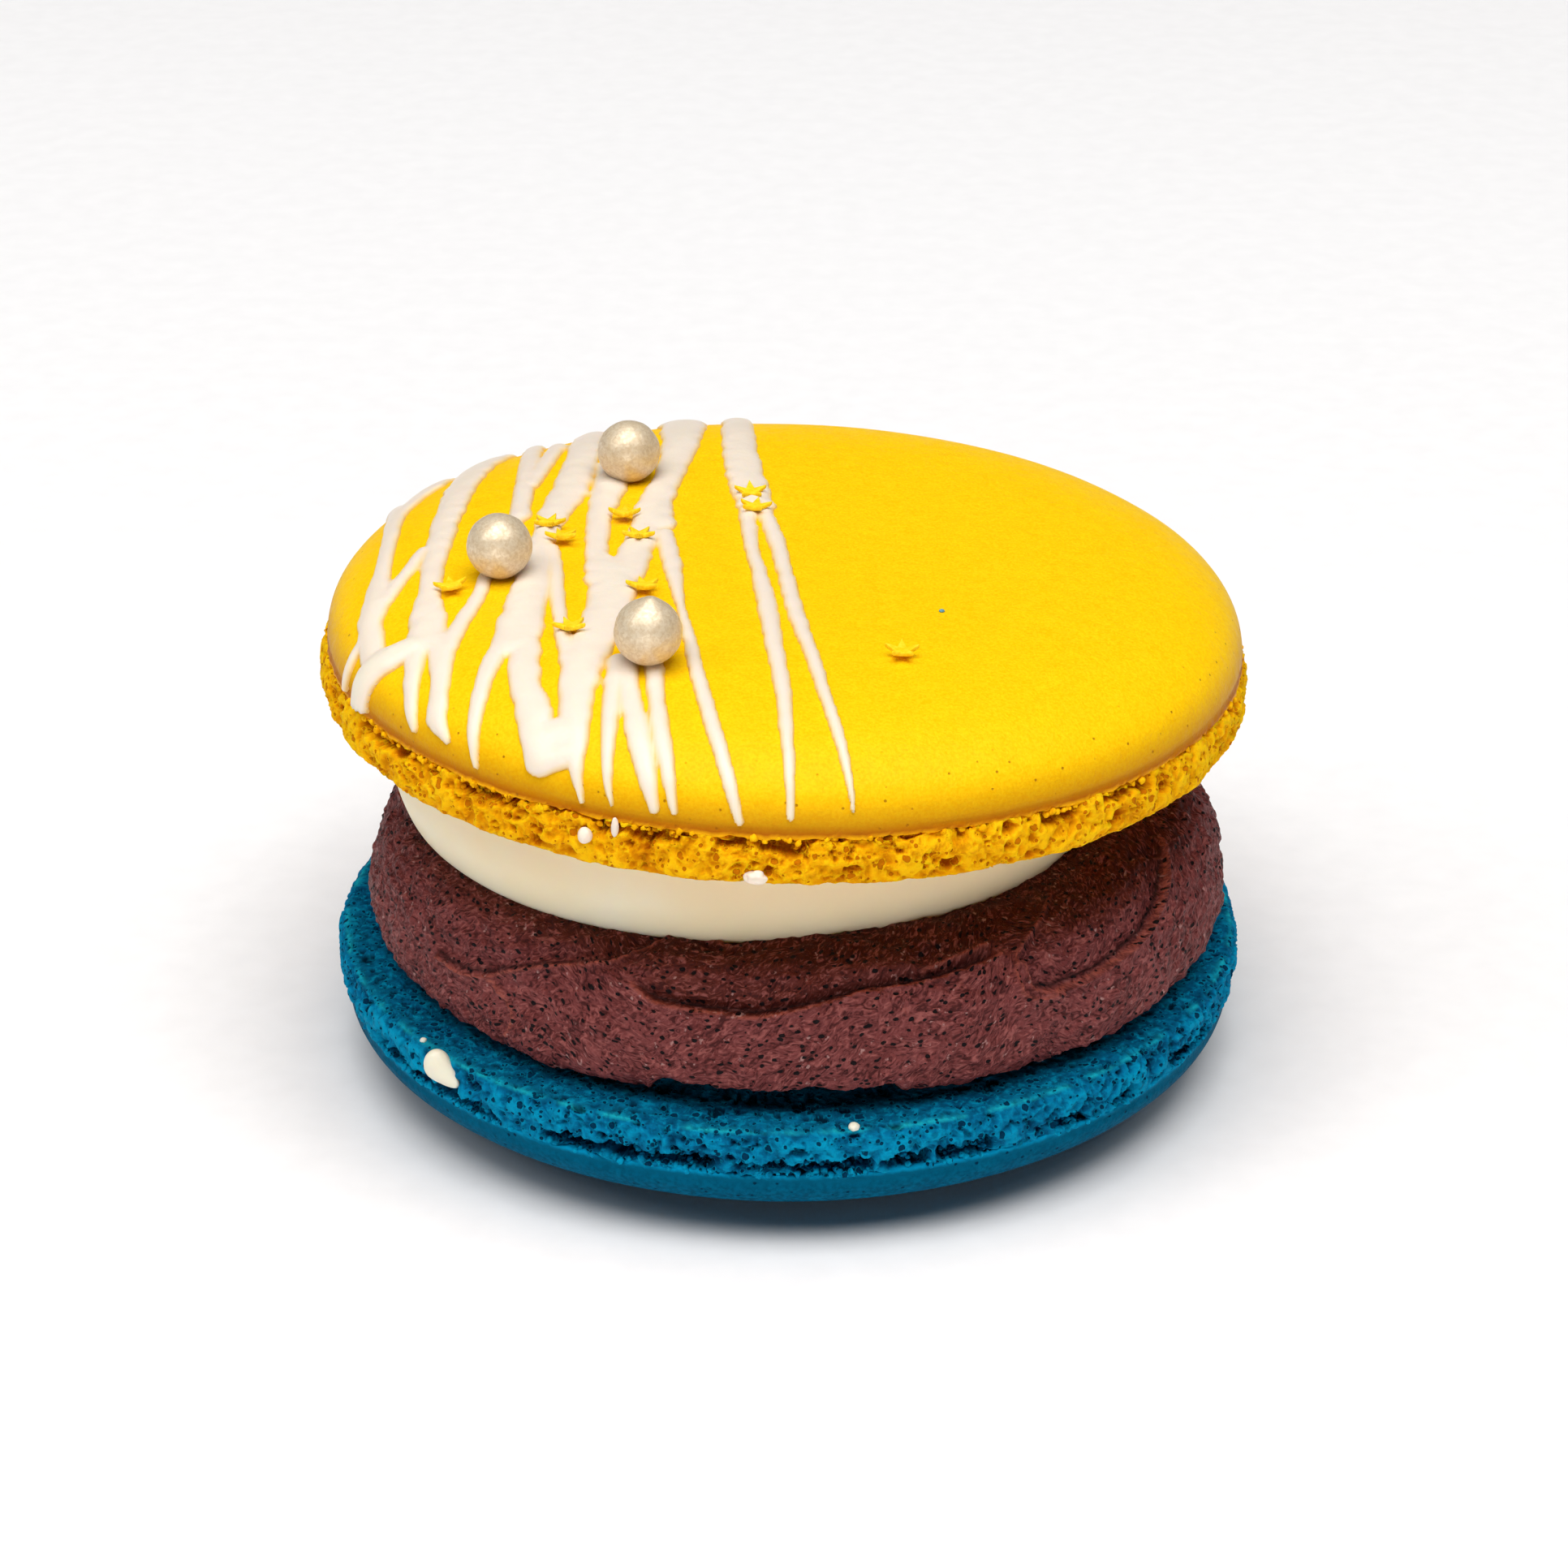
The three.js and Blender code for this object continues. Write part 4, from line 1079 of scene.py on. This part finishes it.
# Knife marks, as (degrees round, distance down the side).
SWIRL_LEFT = [(-54, 7.9), (-49, 7.9), (-44, 7.4), (-40, 6.5), (-33, 5.2), (-26.5, 4.2), (-22, 2.7),
              (-18, 1.2), (-13.5, 1.1), (-9, 1.7)]
LENS_LOWER = [(-22, 5.1), (-18.5, 5.9), (-11, 6.1), (-5, 6.2), (2, 5.5), (8, 4.8), (18, 4.5), (29, 3.9)]
LENS_UPPER = [(-22, 4.7), (-16, 3.4), (-5.5, 3.3), (6.5, 3.1), (18, 3.4), (29, 3.3)]
HOOK_ARC = [(31.8, 6.4), (35, 6.9), (44, 6.9), (53, 6.2), (60, 5.2), (66.5, 3.9), (71, 2.7)]
HOOK_START = [(43, 1.2), (38, 2.5), (34, 3.4), (31, 4.3), (30.2, 5), (29.8, 5.8), (30.4, 6.6),
              (32.5, 7.1), (36, 7.2)]
HOOK_CURL = [(30.6, 4.8), (31.9, 4.9), (31.5, 5.7), (31.8, 6.4)]
OTHER_MARKS = [
    [(-43.5, 7.5), (-40, 8.2), (-38.5, 9.3), (-40, 10.6)],
    [(17.5, 3.8), (22.5, 3.4), (28, 3)],
    [(96, 6.4), (108, 5.6), (122, 3), (130, 1.5)],
    [(126, 6.6), (142, 5.8), (160, 4.2), (178, 2.6)],
    [(-172, 5.8), (-150, 6.4), (-132, 4.8), (-120, 2.2)],
    [(-116, 6.2), (-100, 5.4), (-84, 3.6), (-70, 2.2)],
]
MARK_STEP = 1.0
PLUM_STEPS = 1056
# Relief covers the disc from this radius outwards, above its bottom face.
PLUM_RELIEF_FROM = 17.5
# The side leans towards the right, at a slope that would reach this far at the disc's full
# height, and is drawn in all round by a share of that. Both fade out towards the rounded edge.
PLUM_LEAN = 0.3
PLUM_DRAWN_IN = 0.4
# How far the lower edge has drawn up off the shell at the front.
PLUM_LIFT = 1.25


def distance_to_path(path, degrees, down):
    """Distance over the side to a path, both in degrees round and millimetres down."""
    nearest = np.full(len(degrees), 99.0)
    for (from_degrees, from_down), (to_degrees, to_down) in zip(path, path[1:]):
        across = wrapped(from_degrees - degrees) * PLUM_GIRTH
        drop = from_down - down
        run = (to_degrees - from_degrees) * PLUM_GIRTH
        fall = to_down - from_down
        t = np.clip(-(across * run + drop * fall) / (run * run + fall * fall), 0, 1)
        nearest = np.minimum(nearest, np.hypot(across + run * t, drop + fall * t))
    return nearest


def faded(degrees, start, end, soften):
    return smoothstep(degrees, start, start + soften) * (1 - smoothstep(degrees, end - soften, end))


class KnifeWork:
    """What the palette knife has left on the side: relief in millimetres, and from 0 to 1 how
    sharp a ridge is at each point, which paints light on its crest, and how much shadow is
    painted under it."""

    def __init__(self, degrees, down, wander, relief):
        self.degrees = degrees
        self.down = down
        self.wander = wander
        self.relief = relief
        self.ridge = np.zeros(len(degrees))
        self.undercut_shadow = np.zeros(len(degrees))

    def lip(self, path, height, width):
        """A sharp ridge along a path, from which it strays a little."""
        strayed = self.down + 0.25 * self.wander
        sharp = bell(distance_to_path(smooth_line(path, MARK_STEP), self.degrees, strayed), width)
        self.ridge = np.maximum(self.ridge, sharp)
        self.relief += height * sharp

    def above(self, path, rise, width):
        """1 on a line that runs above a path, falling to 0 over about the width."""
        line = [(degrees, down - rise) for degrees, down in path]
        return bell(distance_to_path(line, self.degrees, self.down), width)

    def scrape_lens(self):
        """The long hollow at the front, deepest above its lower lip. Returns how far down its
        lower edge lies and the hollow's share at each point."""
        degrees, down = self.degrees, self.down
        lower = np.interp(degrees, *np.array(LENS_LOWER).T)
        upper = np.interp(degrees, *np.array(LENS_UPPER).T)
        across_lens = np.clip((down - upper) / np.maximum(lower - upper, 0.2), 0, 1)
        inside = (down < lower + 0.05) & (down > upper)
        lens = faded(degrees, -22.5, 30, 5) * inside * across_lens**1.4
        along_lip = faded(degrees, -22.5, 29, 4)
        self.relief -= 0.45 * lens
        self.relief -= 0.45 * along_lip * bell(lower - down - 0.42, 0.27)
        self.lip(LENS_LOWER, 0.28, 0.16)
        # Painted shadow in the groove just above the lower lip.
        self.undercut_shadow = np.maximum(self.undercut_shadow, along_lip * bell(lower - down - 0.3, 0.13))
        return lower, lens

    def scrape_hook(self):
        """The hook at the right: hollow inside its arc, with a rolled lip outside. Returns how
        far down the arc lies at each point."""
        degrees, down = self.degrees, self.down
        arc = np.interp(degrees, *np.array(HOOK_ARC).T)
        within = smoothstep(degrees, 31, 33) * (1 - smoothstep(degrees, 64, 74))
        hollow = within * bell(np.maximum(arc - down, 0) - 0.35, 1.1) * (down < arc + 0.05)
        self.relief -= 0.6 * hollow
        self.lip(HOOK_ARC, 0.26, 0.17)
        self.lip(HOOK_START, 0.34, 0.16)
        self.lip(HOOK_CURL, 0.4, 0.15)
        # Painted shadow just inside the arc.
        self.undercut_shadow = np.maximum(self.undercut_shadow, within * bell(arc - down - 0.35, 0.16))
        return arc

    def draw_marks(self):
        """The swirl at the left and the marks round the rest of the side, each with a hollow
        above its lip."""
        self.lip(SWIRL_LEFT, 0.26, 0.17)
        # Painted shadow just above the swirl's lip.
        self.undercut_shadow = np.maximum(self.undercut_shadow, 0.8 * self.above(SWIRL_LEFT, 0.3, 0.13))
        self.relief -= 0.3 * self.above(SWIRL_LEFT, 0.8, 0.5)
        for path in OTHER_MARKS:
            self.lip(path, 0.2, 0.19)
            self.relief -= 0.25 * self.above(path, 0.8, 0.5)


def distance_down(p, side):
    """Distance from the edge of the flat top over the side, from its profile."""
    # The profile runs upwards, so what is left of it to its end is the distance down.
    covered = travelled_along(side)
    down = np.interp(p[:, 2], side[:, 1], covered[-1] - covered) + side[-1, 0] - TOP_EDGE_RADIUS
    on_top = p[:, 2] > side[-1, 1] - 0.01
    down[on_top] = np.hypot(p[on_top, 0], p[on_top, 1]) - TOP_EDGE_RADIUS
    return down


def buttercream_relief(p):
    """The soft unevenness of the buttercream, with small round pits."""
    relief = 0.2 * noise_at(p, 0.13, 22) + 0.18 * noise_at(p, 0.45, 23) + 0.2 * noise_at(p, 1.2, 24)
    relief += 0.13 * noise_at(p, 2.6, 27)
    near, _ = cells_at(p, 0.75, 25)
    return relief + (0.1 * (0.45 - near) - 0.12 * bell(near, 0.16))


def make_plum(paint):
    side = smooth_line(PLUM_SIDE, PLUM_SIDE_STEP)
    top = smooth_line(PLUM_TOP, 0.5)
    bm = spun([*PLUM_BOTTOM_FACE, *side, *top, (0, 8.5)], PLUM_STEPS)
    points = points_of(bm)
    radii = np.hypot(points[:, 0], points[:, 1])
    active = (radii > PLUM_RELIEF_FROM) & (points[:, 2] > 0.04)
    p = points[active]
    height = p[:, 2]
    degrees = bearing(p)
    down = distance_down(p, side)
    wander = 0.35 * noise_at(p, 0.35, 21)
    work = KnifeWork(degrees, down, wander, buttercream_relief(p))
    lower, lens = work.scrape_lens()
    arc = work.scrape_hook()
    work.draw_marks()
    # Fine lines drawn by the knife, side by side with the marks.
    along_arc = smoothstep(degrees, 26, 42) * (1 - smoothstep(degrees, 60, 80))
    stroke = down - 0.6 * lower * faded(degrees, -34, 34, 12) - 0.5 * arc * along_arc
    lined = smoothstep(noise_at(p, 0.25, 26), -0.2, 0.4)
    relief = work.relief + 0.05 * np.sin(stroke * 9 + 5 * wander) * lined
    lean = PLUM_LEAN * (np.sin(np.radians(degrees)) - PLUM_DRAWN_IN) * (height / PLUM_HEIGHT)
    out = p + normals_of(bm)[active] * relief[:, None]
    out = moved_out(out, lean * (1 - smoothstep(height, 5.4, 8.9)))
    raised = smoothstep(degrees, -19.5, -17) * (1 - smoothstep(degrees, 12, 14.5))
    out[:, 2] += PLUM_LIFT * raised * bell(height - 0.3, 0.85)
    out[:, 2] = np.maximum(out[:, 2], 0.0)
    points[active] = out
    points += (PLUM_X, 0, PLUM_BOTTOM)
    set_points(bm, points)
    # The way round is folded at the two sides, so that the pattern has no seam at the back.
    folded = np.degrees(np.arcsin(np.sin(np.radians(degrees))))
    attributes = {
        "flow": np.column_stack([folded * PLUM_GIRTH, stroke, height * 0.3 + p[:, 1] * 0.15]),
        # Where the painted shade and reflection lie: the top edge and the long hollow.
        "crown": np.maximum(1 - smoothstep(down + wander, 2.4, 5.2), 0.9 * lens**0.4),
        # The ridge carries the painted light on the lip crests.
        "ridge": work.ridge**4,
        # The painted shadow under the lips.
        "undercut_shadow": 0.9 * np.clip(work.undercut_shadow, 0, 1),
    }
    attributes = {key: over(len(points), active, values) for key, values in attributes.items()}
    piece("plum_buttercream", bm, paint, "filling_plum", None, attributes)


CREAM_HEIGHT = UPPER_SHELL_Z - CREAM_BOTTOM
# The cream reaches this far into the upper shell.
CREAM_OVERLAP = 0.1
CREAM_TOP = CREAM_HEIGHT + CREAM_OVERLAP
CREAM_SIDE = [(20.3, 0.0), (21.3, 0.25), (21.8, 1.2), (22.15, 2.4), (22.2, 3.6), (22.05, 5),
              (21.6, CREAM_HEIGHT - 0.5), (21.5, CREAM_TOP)]
CREAM_SIDE_STEP = 0.3
CREAM_STEPS = 352


def make_cream(paint):
    """The ivory disc, whose top follows the slant of the shell that lies on it."""
    side = smooth_line(CREAM_SIDE, CREAM_SIDE_STEP)
    bm = spun([(0, 0), (12, 0), *side, (12, CREAM_TOP), (0, CREAM_TOP)], CREAM_STEPS)
    points = points_of(bm)
    share = points[:, 2] / CREAM_HEIGHT
    points = moved_out(points, 0.12 * noise_at(points, 0.12, 31) + 0.03 * noise_at(points, 0.5, 32))
    points[:, 0] += CREAM_X
    points[:, 2] += CREAM_BOTTOM - share * math.tan(UPPER_TILT) * (points[:, 0] - UPPER_SHELL_X)
    set_points(bm, points)
    piece("ivory_cream", bm, paint, "filling_cream")


# ---- The whole macaron ----

make_camera()
make_lighting()
make_floor()

yellow_crumb = crumb_paint("yellow crumb", YELLOW_CRUMB, glow=(0.5, (1.0, 0.5, 0.05), 0.8))
# Loose beads are so small that a glow would turn the yellow ones dull.
yellow_bead = crumb_paint("yellow bead", YELLOW_CRUMB)
teal_crumb = crumb_paint("teal crumb", TEAL_CRUMB, glow=(0.15, (0.1, 0.6, 1.0), 0.4))
chocolate = drizzle_paint()

make_cap("teal_cap", teal_cap_paint(), LOWER_PLACE, LOWER_CAP, 11, REST_SPOT_RADIUS)
make_foot("teal_foot", teal_crumb, LOWER_PLACE, LOWER_OPENINGS, 31, "shell_bottom",
          LOWER_CAVES)
make_crumbs("teal_crumbs", teal_crumb, LOWER_PLACE, LOWER_OPENINGS, 5, LOWER_BEADS)
make_cap("yellow_cap", yellow_cap_paint(), UPPER_PLACE, UPPER_CAP, 3)
make_foot("yellow_foot", yellow_crumb, UPPER_PLACE, UPPER_OPENINGS, 41, "shell_top",
          UPPER_CAVES)
make_crumbs("yellow_crumbs", yellow_bead, UPPER_PLACE, UPPER_OPENINGS, 6, UPPER_BEADS)
make_drizzle(chocolate)
make_stars(confetti_paint())
make_drips("drips_lower", chocolate, LOWER_DRIPS, LOWER_DRIP_THICKNESS, None, tailed=True)
make_drips("drips_upper", chocolate, UPPER_DRIPS, UPPER_DRIP_THICKNESS, UPPER_PLACE, tailed=False)
make_speck(speck_paint())
make_pearls(pearl_paint())
make_plum(plum_paint())
make_cream(cream_paint())
